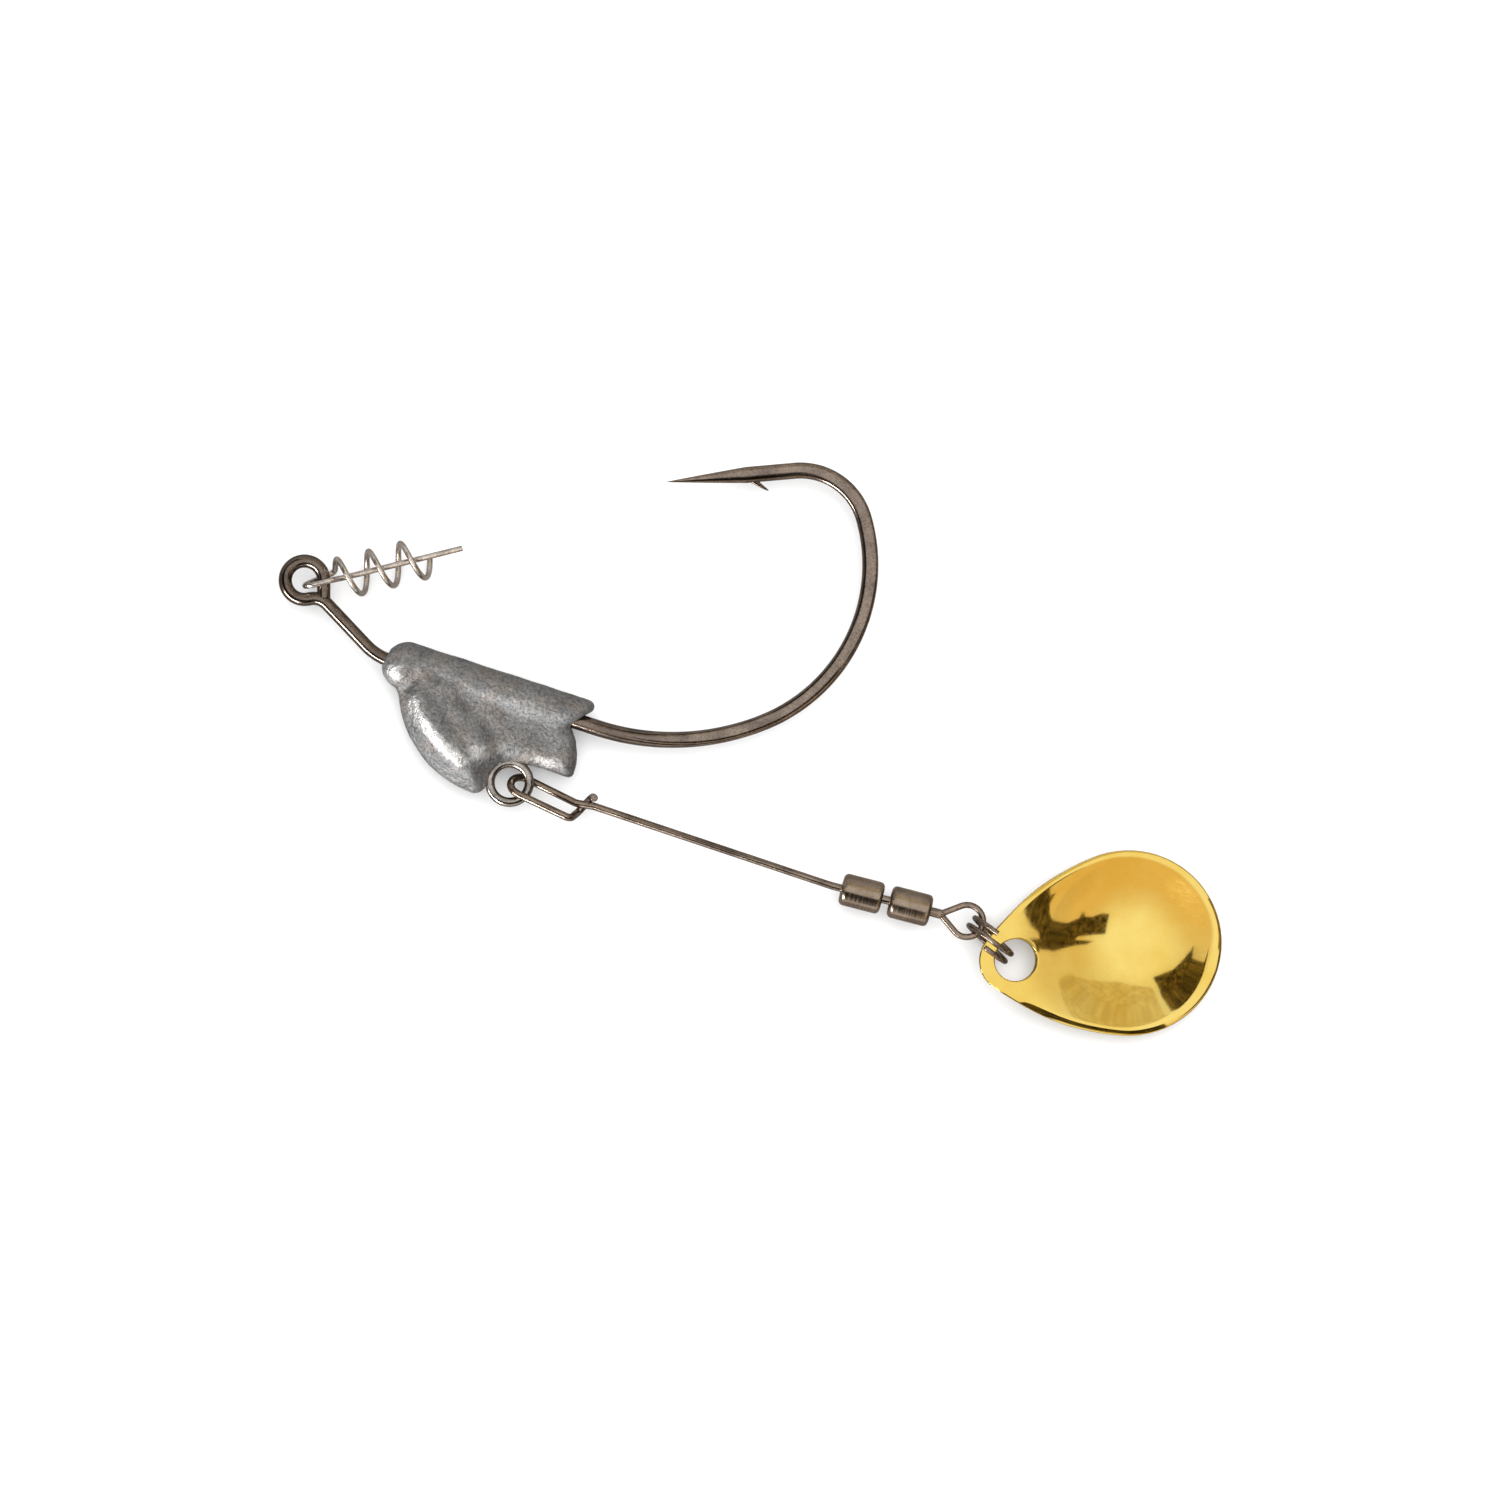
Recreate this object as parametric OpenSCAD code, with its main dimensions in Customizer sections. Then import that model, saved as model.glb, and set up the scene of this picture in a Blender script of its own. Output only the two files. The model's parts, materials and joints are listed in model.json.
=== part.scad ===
// Weighted swimbait hook with a swivelled spinner blade, lying on its side.
// Millimetres. The origin is the centre of the hook's line eye, +X runs along the
// shank towards the bend, +Y runs in the plane of the hook towards the point, and
// +Z is square to that plane. Every wire that links two pieces clears its ring.

/* [Hook] */
// Diameter of the round hook wire
hook_wire_d = 1.4; // [1.3:0.05:1.45]
// Inside diameter of the line eye
eye_bore_d = 2.64; // [2.6:0.02:2.8]
// Distance from the line eye's centre down to the straight shank
shank_drop = 5.25; // [5:0.05:5.5]
// Angle of the offset neck between the eye and the shank
neck_angle = 28.6; // [27:0.2:30]
// Distance from the eye's centre to the start of the round bend
bend_start = 34; // [33:0.5:36]
// Width of the forged wire in the bend, in the plane of the hook
forged_w = 1.7; // [1.5:0.05:1.8]
// Thickness of the forged wire in the bend, across the flats
forged_t = 1.15; // [1:0.05:1.3]
// Length of the straight between the bend and the tip of the point
point_l = 13.5; // [12.5:0.1:15]
// Length of the ground needle
needle_l = 8.4; // [7:0.1:9]

/* [Belly weight] */
// Diameter of the sleeve cast round the shank
sleeve_d = 4.06; // [3.8:0.02:4.2]
// Distance from the eye's centre to the end of the sleeve
sleeve_end = 32.7; // [32:0.1:33]
// Thickness of the belly at its fullest
belly_t = 6; // [5:0.1:6]
// Thickness of the web behind the belly
web_t = 2.7; // [2.4:0.1:3]

/* [Hanger loop] */
// Wire diameter of the hanger loop
hanger_wire_d = 1; // [0.9:0.02:1]
// Inside diameter of the hanger loop
hanger_bore_d = 3.14; // [3.1:0.02:3.3]

/* [Bait keeper] */
// Wire diameter of the bait keeper
keeper_wire_d = 0.6; // [0.5:0.02:0.6]
// Outside diameter of the keeper's coil
coil_d = 4.76; // [4.4:0.04:4.8]
// Rise of the coil over one turn
coil_pitch = 3.43; // [3:0.01:3.5]
// Number of turns in the coil
coil_turns = 3; // [2:1:3]
// Direction of the pin from +X
keeper_angle = 32; // [30:0.5:34]
// Distance from the line eye's centre to the tip of the pin
pin_end = 16.9; // [15:0.1:18]

/* [Clip arm] */
// Wire diameter of the clip and its arm
arm_wire_d = 0.8; // [0.7:0.02:0.8]
// Distance from the hanger loop's centre to the set bend at the swivel
arm_l = 35.5; // [34:0.1:38]
// Direction of the arm from +X
arm_angle = -0.5; // [-1:0.1:0.5]
// Angle of the set bend that lines the arm up with the swivel
set_angle = 3.9; // [3:0.1:4.5]

/* [Swivel] */
// Outside diameter of each barrel
barrel_d = 3.4; // [3.2:0.05:3.6]
// Length of each barrel
barrel_l = 4.4; // [4.2:0.05:4.5]
// Gap between the two barrels
barrel_gap = 0.84; // [0.8:0.02:1]
// Radial running clearance in each barrel's end holes
swivel_play = 0.05; // [0.03:0.01:0.08]
// Wire diameter of the swivel's eye
swivel_wire_d = 0.67; // [0.6:0.01:0.7]
// Inside diameter of the swivel's eye
swivel_bore_d = 2.71; // [2.7:0.01:2.9]

/* [Split ring] */
// Outside diameter of the split ring
split_ring_d = 5.9; // [5.8:0.05:6]
// Wire diameter of the split ring
split_wire_d = 0.58; // [0.5:0.02:0.6]
// Spacing of its two turns, held open by the blade
split_pitch = 1; // [0.8:0.02:1.05]

/* [Blade] */
// Overall length of the blade
blade_l = 25.6; // [25:0.1:26]
// Overall width of the blade
blade_w = 19.2; // [18.8:0.1:19.6]
// Thickness of the sheet
blade_t = 0.7; // [0.6:0.05:0.8]
// Diameter of the hole
blade_hole_d = 4.4; // [4.2:0.05:4.5]
// Direction of the blade from +X
blade_angle = 26.25; // [20:0.25:30]

/* [Hidden] */
$fn = 72;

// How far each joined wire laps into the next, and how much thinner it is
lap = 0.05;
lap_step = 0.008;

// Hook
eye_r = (eye_bore_d + hook_wire_d) / 2;
collar_r = 2;
offset_r = 6;
// Along the neck, from the eye's centre to where the wire starts to curl round it
neck_near = sqrt(pow(eye_r + collar_r, 2) - pow(collar_r, 2));
collar_angle = acos(collar_r / (eye_r + collar_r));
offset_tangent = offset_r * tan(neck_angle / 2);
neck_far = shank_drop / sin(neck_angle) - offset_tangent;
offset_x = shank_drop / tan(neck_angle) + offset_tangent;
eye_end_angle = 18;
eye_wrap = 90 - eye_end_angle + 180 - neck_angle + collar_angle;
eye_tail = 1.85;
section_change = 24;
shank_bend = [25.7, 40];
side_bend = [17.8, 84];
top_bend = [6.9, 79];
tip_r = 0.05;
// How far the needle's root stands inside the forged wire that it laps
root_step = 0.03;
barb_t = 0.5;
barb_outline = [[8.5, 0.4], [8.8, 0.85], [10.45, 1.85], [9.6, 0.4]];

// Belly weight: spheres at [x, y, diameter] whose hull is the keel
sleeve_y = -4.73;
sleeve_start = 13.1;
sleeve_slant = 36;
sleeve_edge = 0.5;
keel_balls = [[12.8, -5.5, 4.6], [17.1, -9.4, belly_t], [20.6, -12.3, belly_t - 1],
              [23.3, -14.1, 3.2], [31.9, -9.75, web_t], [30.6, -6.2, web_t - 0.3]];
web_bottom = -11.15;
notch_r = 1.95;
// Corners of the notch that leaves the hanger loop free, from the loop's centre
notch_front = [[-notch_r, 0], [-2.2, -1.3], [-2.2, -4]];
notch_back_x = 1.5;

// Hanger loop
hanger = [27.05, -13.55];
hanger_r = (hanger_bore_d + hanger_wire_d) / 2;
hanger_stem_l = 4.5;
hanger_stem_angle = 135;

// Bait keeper, in its own frame: x along the pin, y across it, z as the part's
keeper_offset = -0.75;
coil_r = (coil_d - keeper_wire_d) / 2;
coil_start = 2.94;
// Height of the keeper's two legs over and under the eye's wire
keeper_leg = (hook_wire_d + keeper_wire_d) / 2 + 0.08;
keeper_nose = -0.06;
keeper_spread = 0.35;
pin_start = 4.4;
// Angle round the coil, from behind the pin, at which the keeper's back leg joins it
coil_from = 48;
coil_step = 12;

// Clip arm, in its own frame: x along the arm from the hanger loop's centre
arm_rise = 0.45;
arm_straight_start = 10;
set_r = 6;
set_tangent = set_r * tan(set_angle / 2);
clip_leg = (hanger_wire_d + arm_wire_d) / 2 + 0.07;
latch_depth = arm_wire_d + 0.08;
clip_corners = [[arm_straight_start + 0.3, arm_rise, 0, 0],
                [9.2, arm_rise, 0, 1.5],
                [7.3, 0.15, -0.12, 2],
                [0.15, 1.1, -clip_leg - 0.25, 1.25],
                [0.15, -0.7, clip_leg - 0.02, 1.25],
                [7.25, -1.55, 0.98, 0.7],
                [7.75, -0.75, -latch_depth, 0.6],
                [8.7, 1.35, -latch_depth, 0.5],
                [8.95, 1.3, 0.5, 0]];

// Swivel, in a frame whose x runs along its axis from the arm's set bend
front_barrel_x = 1.07;
rear_barrel_x = front_barrel_x + barrel_l + barrel_gap;
barrel_wall = 0.45;
barrel_crimp = 0.5;
end_play = 0.06;
head_l = 0.9;
head_d = barrel_d - 2 * barrel_wall - 2 * swivel_play - 0.2;
link_neck_d = 0.9;
eye_neck_d = 1;
swivel_eye_x = 14.68;
swivel_r = (swivel_bore_d + swivel_wire_d) / 2;
fork_angle = 35.6;
fork_l = swivel_r / tan(fork_angle);
fork_x = swivel_eye_x - swivel_r / sin(fork_angle);

// Split ring
split_centre = [80.13, -13.64];
split_angle = -21.5;
split_r = (split_ring_d - split_wire_d) / 2;
split_turns = 2;
split_step = 8;

// Blade, in a frame whose x runs along it from its tip
blade_tip = [79.8, -16.52];
blade_floor = -3.03;
blade_hole_x = 3.82;
end_r = 3.3;
side_r = 27;
bowl_r = 15;
bowl_angle = 30;
lip_r = 16;
// Direction of the lip's radius at the blade's far rim
lip_end_angle = 88;

function unit(v) = v / norm(v);

// Points round the corner p between a and b, on an arc of radius r
function corner_arc(a, p, b, r, n = 8) =
    let (u = unit(a - p), v = unit(b - p), half = acos(u * v) / 2, w = 90 - half)
    let (c = p + unit(u + v) * r / sin(half), s = p + u * r / tan(half) - c,
         e = p + v * r / tan(half) - c)
    [for (i = [0:n]) c + (sin(2 * w * (1 - i / n)) * s + sin(2 * w * i / n) * e) / sin(2 * w)];

function xyz(c) = [c[0], c[1], c[2]];

// The centreline of a wire bent round corners, each [x, y, z, bend radius]
function bent(corners) = let (last = len(corners) - 1) concat(
    [xyz(corners[0])],
    [for (i = [1:last - 1])
        each corner_arc(xyz(corners[i - 1]), xyz(corners[i]), xyz(corners[i + 1]), corners[i][3])],
    [xyz(corners[last])]);

// A coil along +x that starts at angle from, measured from -z towards +y
function coil(r, pitch, x, from, to, step) =
    [for (a = [from:step:to]) [x + pitch * a / 360, r * sin(a), -r * cos(a)]];

// The wire's direction at each point of its centreline
function directions(path) = let (last = len(path) - 1)
    [for (i = [0:last]) unit(path[min(i + 1, last)] - path[max(i - 1, 0)])];

// A side direction at each point, carried along without twist
function sides(dirs, first) =
    [for (i = 0, s = unit(first - (first * dirs[0]) * dirs[0]); i < len(dirs);
        i = i + 1, s = i < len(dirs) ? unit(s - (s * dirs[i]) * dirs[i]) : s) s];

// A round wire of diameter d swept along a centreline
module swept(path, d, first = [0, 1, 0], n = 12) {
    dirs = directions(path);
    side = sides(dirs, first);
    last = len(path) - 1;
    points = [for (i = [0:last]) for (k = [0:n - 1])
        path[i] + d / 2 * (cos(360 * k / n) * side[i] + sin(360 * k / n) * cross(dirs[i], side[i]))];
    walls = [for (i = [0:last - 1]) for (k = [0:n - 1])
        [i * n + k, (i + 1) * n + k, (i + 1) * n + (k + 1) % n, i * n + (k + 1) % n]];
    caps = [[for (k = [0:n - 1]) k], [for (k = [n - 1:-1:0]) last * n + k]];
    polyhedron(points, concat(walls, caps), convexity = 10);
}

// A wire bent step by step in the XY plane from the origin towards +x. A step is
// [length] for a straight or [radius, angle] for a bend, to the left if positive.
// Every second step is a hair thinner and laps into its neighbours, which joins them.
// The first child is the wire's section and the second sits at its end.
module wire(steps, i = 0) {
    thin = i % 2;
    past = lap * thin;
    if (i == len(steps)) {
        if ($children > 1) children(1);
    } else if (len(steps[i]) == 1) {
        translate([-past, 0, 0]) rotate([90, 0, 90]) linear_extrude(steps[i][0] + 2 * past)
            scale(1 - thin * lap_step) children(0);
        translate([steps[i][0], 0, 0]) wire(steps, i + 1) {
            children(0);
            if ($children > 1) children(1);
        }
    } else {
        r = steps[i][0];
        turn = steps[i][1];
        more = past / r * 180 / PI;
        translate([0, sign(turn) * r, 0]) {
            rotate(turn > 0 ? -90 - more : 90 + turn - more)
                rotate_extrude(angle = abs(turn) + 2 * more, $fn = 144)
                    translate([r, 0]) scale(1 - thin * lap_step) children(0);
            rotate(turn) translate([0, -sign(turn) * r, 0]) wire(steps, i + 1) {
                children(0);
                if ($children > 1) children(1);
            }
        }
    }
}

module forged_section() {
    intersection() {
        circle(d = forged_w);
        square([2 * forged_w, forged_t], center = true);
    }
}

module hook_point() {
    flats = forged_t - root_step;
    intersection() {
        translate([-lap, 0, 0]) rotate([0, 90, 0])
            cylinder(h = needle_l + lap, d1 = forged_w - 2 * root_step, d2 = 2 * tip_r);
        translate([-1, -forged_w, -flats / 2]) cube([needle_l + 2, 2 * forged_w, flats]);
    }
    translate([0, 0, -barb_t / 2]) linear_extrude(barb_t)
        polygon([for (p = barb_outline) [needle_l - p[0], p[1]]]);
}

module hook() color([0.33, 0.30, 0.28]) {
    translate([section_change, -shank_drop, 0]) {
        rotate(180) wire([[section_change - offset_x], [offset_r, -neck_angle],
                          [neck_far - neck_near], [collar_r, collar_angle],
                          [eye_r, -eye_wrap], [eye_tail]]) circle(d = hook_wire_d);
        wire([[bend_start - section_change], shank_bend, side_bend, top_bend,
              [point_l - needle_l]]) {
            forged_section();
            hook_point();
        }
    }
}

module belly_weight() color([0.52, 0.52, 0.52]) difference() {
    union() {
        difference() {
            hull() {
                translate([sleeve_start, sleeve_y, 0]) sphere(d = sleeve_d, $fn = 36);
                translate([sleeve_end - 2 * sleeve_edge, sleeve_y, 0]) rotate([0, 90, 0])
                    cylinder(h = sleeve_edge, d = sleeve_d, $fn = 36);
                translate([sleeve_end - sleeve_edge, sleeve_y, 0]) rotate([0, 90, 0])
                    cylinder(h = sleeve_edge, d = sleeve_d - 2 * sleeve_edge, $fn = 36);
            }
            translate([sleeve_end, sleeve_y + sleeve_d / 4, 0]) rotate(-sleeve_slant)
                translate([0, -2 * sleeve_d, -sleeve_d]) cube(4 * sleeve_d * [1, 1, 1]);
        }
        hull() for (b = keel_balls) translate([b[0], b[1], 0]) sphere(d = b[2], $fn = 36);
    }
    translate([0, 0, -belly_t]) linear_extrude(2 * belly_t) {
        translate(hanger) circle(r = notch_r, $fn = 48);
        polygon(concat([for (p = notch_front) hanger + p],
            [[sleeve_end + sleeve_d, hanger[1] + notch_front[2][1]],
             [sleeve_end + sleeve_d, web_bottom],
             [hanger[0] + notch_back_x, web_bottom], hanger + [0, notch_r]]));
    }
}

module hanger_loop() color([0.72, 0.68, 0.65]) translate(hanger) {
    rotate_extrude() translate([hanger_r, 0]) circle(d = hanger_wire_d);
    rotate(hanger_stem_angle) translate([hanger_r, 0, 0])
        rotate([0, 90, 0]) cylinder(h = hanger_stem_l, d = hanger_wire_d);
}

module bait_keeper() color([0.75, 0.72, 0.69]) rotate(keeper_angle)
    translate([0, keeper_offset, 0]) {
        turns = coil(coil_r, coil_pitch, coil_start, coil_from, 360 * coil_turns, coil_step);
        run_in = unit(turns[0] - turns[1]);
        join = turns[0] + run_in;
        swept(concat(
            bent([[pin_start + 0.2, 0, 0, 0],
                  [3.9, 0, 0, 1.2],
                  [2.9, 0, keeper_leg, 1.2],
                  [keeper_nose, 0, keeper_leg, keeper_leg - 0.02],
                  [keeper_nose, keeper_spread, -keeper_leg, keeper_leg - 0.02],
                  [join[0], join[1], join[2], 0.6],
                  turns[0] + 0.1 * run_in]), turns), keeper_wire_d - 0.01);
        translate([pin_start, 0, 0]) rotate([0, 90, 0])
            cylinder(h = pin_end - pin_start, d = keeper_wire_d);
    }

// Places what hangs from the hanger loop on the arm's own axis
module on_arm() {
    translate(hanger) rotate(arm_angle) children();
}

// Places what turns in the swivel on the swivel's own axis
module on_swivel() {
    on_arm() translate([arm_l, arm_rise, 0]) rotate(set_angle) children();
}

// A round bar along the swivel's axis from x
module bar(x, l, d) {
    translate([x, 0, 0]) rotate([0, 90, 0]) cylinder(h = l, d = d);
}

module clip_arm() color([0.45, 0.39, 0.35]) {
    entry = front_barrel_x + barrel_wall + end_play;
    on_arm() {
        swept(bent(clip_corners), arm_wire_d - 0.01);
        translate([arm_straight_start, arm_rise, 0])
            wire([[arm_l - arm_straight_start - set_tangent], [set_r, set_angle],
                  [entry - set_tangent + lap]]) circle(d = arm_wire_d);
    }
    on_swivel() bar(entry, head_l, head_d);
}

// A hollow barrel from x, crimped at both ends round holes of diameters d1 and d2
module barrel(x, d1, d2) {
    translate([x, 0, 0]) rotate([0, 90, 0]) difference() {
        union() {
            cylinder(h = barrel_crimp, d1 = barrel_d - 1, d2 = barrel_d);
            translate([0, 0, barrel_crimp]) cylinder(h = barrel_l - 2 * barrel_crimp, d = barrel_d);
            translate([0, 0, barrel_l - barrel_crimp])
                cylinder(h = barrel_crimp, d1 = barrel_d, d2 = barrel_d - 1);
        }
        translate([0, 0, barrel_wall])
            cylinder(h = barrel_l - 2 * barrel_wall, d = barrel_d - 2 * barrel_wall);
        translate([0, 0, -1]) cylinder(h = barrel_l / 2, d = d1 + 2 * swivel_play);
        translate([0, 0, barrel_l / 2]) cylinder(h = barrel_l, d = d2 + 2 * swivel_play);
    }
}

module front_barrel() color([0.47, 0.41, 0.37]) on_swivel()
    barrel(front_barrel_x, arm_wire_d, link_neck_d);

module rear_barrel() color([0.47, 0.41, 0.37]) on_swivel()
    barrel(rear_barrel_x, link_neck_d, eye_neck_d);

module swivel_link() color([0.35, 0.31, 0.28]) on_swivel() {
    front_head = front_barrel_x + barrel_l - barrel_wall - end_play - head_l;
    rear_head = rear_barrel_x + barrel_wall + end_play;
    bar(front_head, head_l, head_d);
    bar(front_head + head_l, rear_head - front_head - head_l, link_neck_d);
    bar(rear_head, head_l, head_d);
}

module swivel_eye() color([0.43, 0.37, 0.33]) on_swivel() {
    head_x = rear_barrel_x + barrel_l - barrel_wall - end_play - head_l;
    bar(head_x, head_l, head_d);
    bar(head_x + head_l, fork_x + 0.25 - head_x - head_l, eye_neck_d);
    translate([swivel_eye_x, 0, 0]) rotate(-90 - fork_angle)
        rotate_extrude(angle = 180 + 2 * fork_angle)
            translate([swivel_r, 0]) circle(d = swivel_wire_d);
    for (a = [-fork_angle, fork_angle])
        translate([fork_x, 0, 0]) rotate(a) bar(0, fork_l + lap, swivel_wire_d * (1 - lap_step));
}

module split_ring() color([0.38, 0.33, 0.30]) translate(split_centre)
    rotate(split_angle + 90) swept([for (p = coil(split_r, split_pitch, -split_pitch, 180,
        180 + 360 * split_turns, split_step)) p - [split_pitch / 2, 0, 0]],
        split_wire_d, [1, 0, 0]);

// The centre of the arc of radius r that holds two circles on the x axis inside it
function side_centre(x1, r1, x2, r2, r) =
    let (d = x2 - x1, x = (pow(r - r1, 2) - pow(r - r2, 2) + d * d) / (2 * d))
    [x1 + x, -sqrt(pow(r - r1, 2) - x * x)];

function arc(c, r, from, to, n) =
    [for (i = [0:n]) c + r * [cos(from + (to - from) * i / n), sin(from + (to - from) * i / n)]];

// Upper edge of the blade's outline, from its tip round to its far end
function blade_edge() =
    let (belly_r = blade_w / 2, belly_x = blade_l - belly_r,
         c = side_centre(end_r, end_r, belly_x, belly_r, side_r),
         a1 = atan2(-c[1], end_r - c[0]), a2 = atan2(-c[1], belly_x - c[0]))
    concat(arc([end_r, 0], end_r, 180, a1, 12), arc(c, side_r, a1, a2, 24),
           arc([belly_x, 0], belly_r, a2, 0, 18));

// Section of the dished sheet, from the middle of the bowl outwards
module dish_section() {
    reach = blade_l - blade_w / 2 + 0.5;
    bowl_x = bowl_r * sin(bowl_angle);
    lip_x = (bowl_r + lip_r) * sin(bowl_angle);
    lip_y = bowl_r - (bowl_r + lip_r) * cos(bowl_angle);
    intersection() {
        polygon(concat(
            arc([0, bowl_r], bowl_r + blade_t / 2, -90, -90 + bowl_angle, 16),
            arc([lip_x, lip_y], lip_r - blade_t / 2, 90 + bowl_angle, lip_end_angle, 16),
            arc([lip_x, lip_y], lip_r + blade_t / 2, lip_end_angle, 90 + bowl_angle, 16),
            arc([0, bowl_r], bowl_r - blade_t / 2, -90 + bowl_angle, -90, 16)));
        translate([0, -5]) square([reach, 15]);
    }
}

module blade() color([0.88, 0.70, 0.25])
    translate([blade_tip[0], blade_tip[1], blade_floor + blade_t / 2]) rotate(blade_angle)
        difference() {
            intersection() {
                translate([blade_l - blade_w / 2, 0, 0]) rotate_extrude($fn = 96) dish_section();
                translate([0, 0, -3]) linear_extrude(12) polygon(concat(blade_edge(),
                    [for (i = [len(blade_edge()) - 1:-1:0])
                        [blade_edge()[i][0], -blade_edge()[i][1]]]));
            }
            translate([blade_hole_x, 0, -5]) cylinder(h = 15, d = blade_hole_d);
        }

hook();
belly_weight();
hanger_loop();
bait_keeper();
clip_arm();
front_barrel();
swivel_link();
rear_barrel();
swivel_eye();
split_ring();
blade();
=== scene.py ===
"""Looks of a weighted swimbait hook with an under-belly spoon blade, round the CAD frame."""
import json
import math

import bpy
import numpy as np
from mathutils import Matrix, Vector, noise


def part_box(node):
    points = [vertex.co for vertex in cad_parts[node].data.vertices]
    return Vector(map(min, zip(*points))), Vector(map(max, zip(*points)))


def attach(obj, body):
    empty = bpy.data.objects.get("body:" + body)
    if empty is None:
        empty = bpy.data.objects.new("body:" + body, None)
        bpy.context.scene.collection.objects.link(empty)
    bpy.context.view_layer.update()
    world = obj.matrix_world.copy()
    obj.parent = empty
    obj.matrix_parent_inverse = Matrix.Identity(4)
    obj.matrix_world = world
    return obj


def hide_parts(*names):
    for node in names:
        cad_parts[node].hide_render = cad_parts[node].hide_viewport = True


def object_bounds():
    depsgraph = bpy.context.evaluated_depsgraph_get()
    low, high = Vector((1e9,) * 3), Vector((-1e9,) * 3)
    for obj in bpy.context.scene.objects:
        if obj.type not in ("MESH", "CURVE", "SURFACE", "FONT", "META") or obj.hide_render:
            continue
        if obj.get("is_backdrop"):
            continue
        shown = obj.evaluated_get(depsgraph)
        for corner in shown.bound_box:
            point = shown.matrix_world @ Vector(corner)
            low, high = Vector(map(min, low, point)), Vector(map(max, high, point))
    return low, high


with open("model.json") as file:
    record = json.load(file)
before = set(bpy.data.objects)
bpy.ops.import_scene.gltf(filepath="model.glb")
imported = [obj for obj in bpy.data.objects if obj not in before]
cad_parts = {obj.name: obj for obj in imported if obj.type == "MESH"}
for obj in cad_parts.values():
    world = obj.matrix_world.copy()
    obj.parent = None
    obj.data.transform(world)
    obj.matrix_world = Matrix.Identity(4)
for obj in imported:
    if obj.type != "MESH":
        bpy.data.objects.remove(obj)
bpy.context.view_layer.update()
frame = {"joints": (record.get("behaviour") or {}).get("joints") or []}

# Up to the studio part, lengths are in millimetres in the CAD's frame
MM = 0.001
JOINTS = {joint["name"]: joint for joint in frame["joints"]}

# Hook: wire, the line eye's mean radius, the shank below the eye, the bend's pressed section
HOOK_WIRE_D = 1.4
EYE_R = 2.02
SHANK_DROP = 5.25
FORGED_W = 1.7
FORGED_T = 1.15
POINT_L = 13.5
NEEDLE_L = 8.4

# Belly weight: the round sleeve on the shank
SLEEVE_R = 2.03
SLEEVE_Y = -4.73
SLEEVE_END = 32.7

# Bait keeper, clip arm and swivel
KEEPER_WIRE_D = 0.6
ARM_WIRE_D = 0.8
BARREL_D = 3.4
BARREL_L = 4.4
BARREL_GAP = 0.84
WALL = 0.45
PLAY = 0.06
HEAD_L = 0.9
HEAD_R = 1.1

# Blade: its tip and angle in the frame, and a bowl that is steepest from STEEP_FROM to STEEP_TO
BLADE_L = 25.6
BLADE_W = 19.2
BLADE_T = 0.7
BLADE_ANGLE = 26.25
BLADE_TIP = (79.8, -16.52)
BOWL_R = 15.0
STEEP_FROM = 7.0
STEEP_TO = 8.6
DISH_END = 15.5

# The blade's rolled rim: its narrowest and widest, and how far it turns over in radians
ROLL_W = (0.75, 1.35)
ROLL_ANGLE = 0.75


def joint_place(name):
    """A joint's point in millimetres, and its axis."""
    joint = JOINTS[name]
    return np.array(joint["pos_m"]) / MM, np.array(joint["axis"])


HANGER = joint_place("arm_swing")[0]
SPIN_POINT, SPIN_AXIS = joint_place("front_barrel_spin")
SWIVEL_EYE = joint_place("split_ring_swing")[0]
RING_CENTRE, RING_HINGE = joint_place("blade_flap")


# ---- paths and meshes

def unit(v):
    """The same direction with a length of one."""
    return v / np.linalg.norm(v)


def route(start, heading, steps, pitch=0.15):
    """Points in the XY plane along straights (length,) and bends (radius, angle).

    The heading is in radians, the angles are in degrees, and a positive bend goes left.
    """
    at = np.array(start, float)
    points = [at]
    for step in steps:
        direction = np.array([math.cos(heading), math.sin(heading)])
        if len(step) == 1:
            n = max(2, round(step[0] / 0.5))
            points += [at + direction * step[0] * k / n for k in range(1, n + 1)]
        else:
            radius, turn = step[0], math.radians(step[1])
            n = max(6, round(radius * abs(turn) / pitch))
            side = math.copysign(1, turn)
            centre = at + side * radius * np.array([-direction[1], direction[0]])
            a0 = heading - side * math.pi / 2
            for k in range(1, n + 1):
                a = a0 + turn * k / n
                points.append(centre + radius * np.array([math.cos(a), math.sin(a)]))
            heading += turn
        at = points[-1]
    return np.array([[x, y, 0] for x, y in points])


def corner_arc(a, p, b, radius, n=14):
    """Points round the corner p between a and b, on an arc."""
    u, v = unit(a - p), unit(b - p)
    half = math.acos(float(u @ v)) / 2
    sweep_angle = math.pi - 2 * half
    centre = p + unit(u + v) * radius / math.sin(half)
    start = p + u * radius / math.tan(half) - centre
    end = p + v * radius / math.tan(half) - centre
    points = []
    for i in range(n + 1):
        share = i / n
        spoke = math.sin(sweep_angle * (1 - share)) * start + math.sin(sweep_angle * share) * end
        points.append(centre + spoke / math.sin(sweep_angle))
    return points


def bent(corners):
    """The centreline of a wire bent round corners, each (x, y, z, bend radius)."""
    points = [np.array(c[:3], float) for c in corners]
    line = [points[0]]
    for i in range(1, len(points) - 1):
        line += corner_arc(points[i - 1], points[i], points[i + 1], corners[i][3])
    return np.array(line + [points[-1]])


def even(line, pitch):
    """The same line with points about pitch apart."""
    gaps = np.linalg.norm(np.diff(line, axis=0), axis=1)
    keep = np.r_[True, gaps > 1e-6]
    line = line[keep]
    at = np.r_[0, np.cumsum(gaps[gaps > 1e-6])]
    wanted = np.linspace(0, at[-1], max(2, round(at[-1] / pitch)) + 1)
    return np.stack([np.interp(wanted, at, line[:, k]) for k in range(3)], axis=1)


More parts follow.
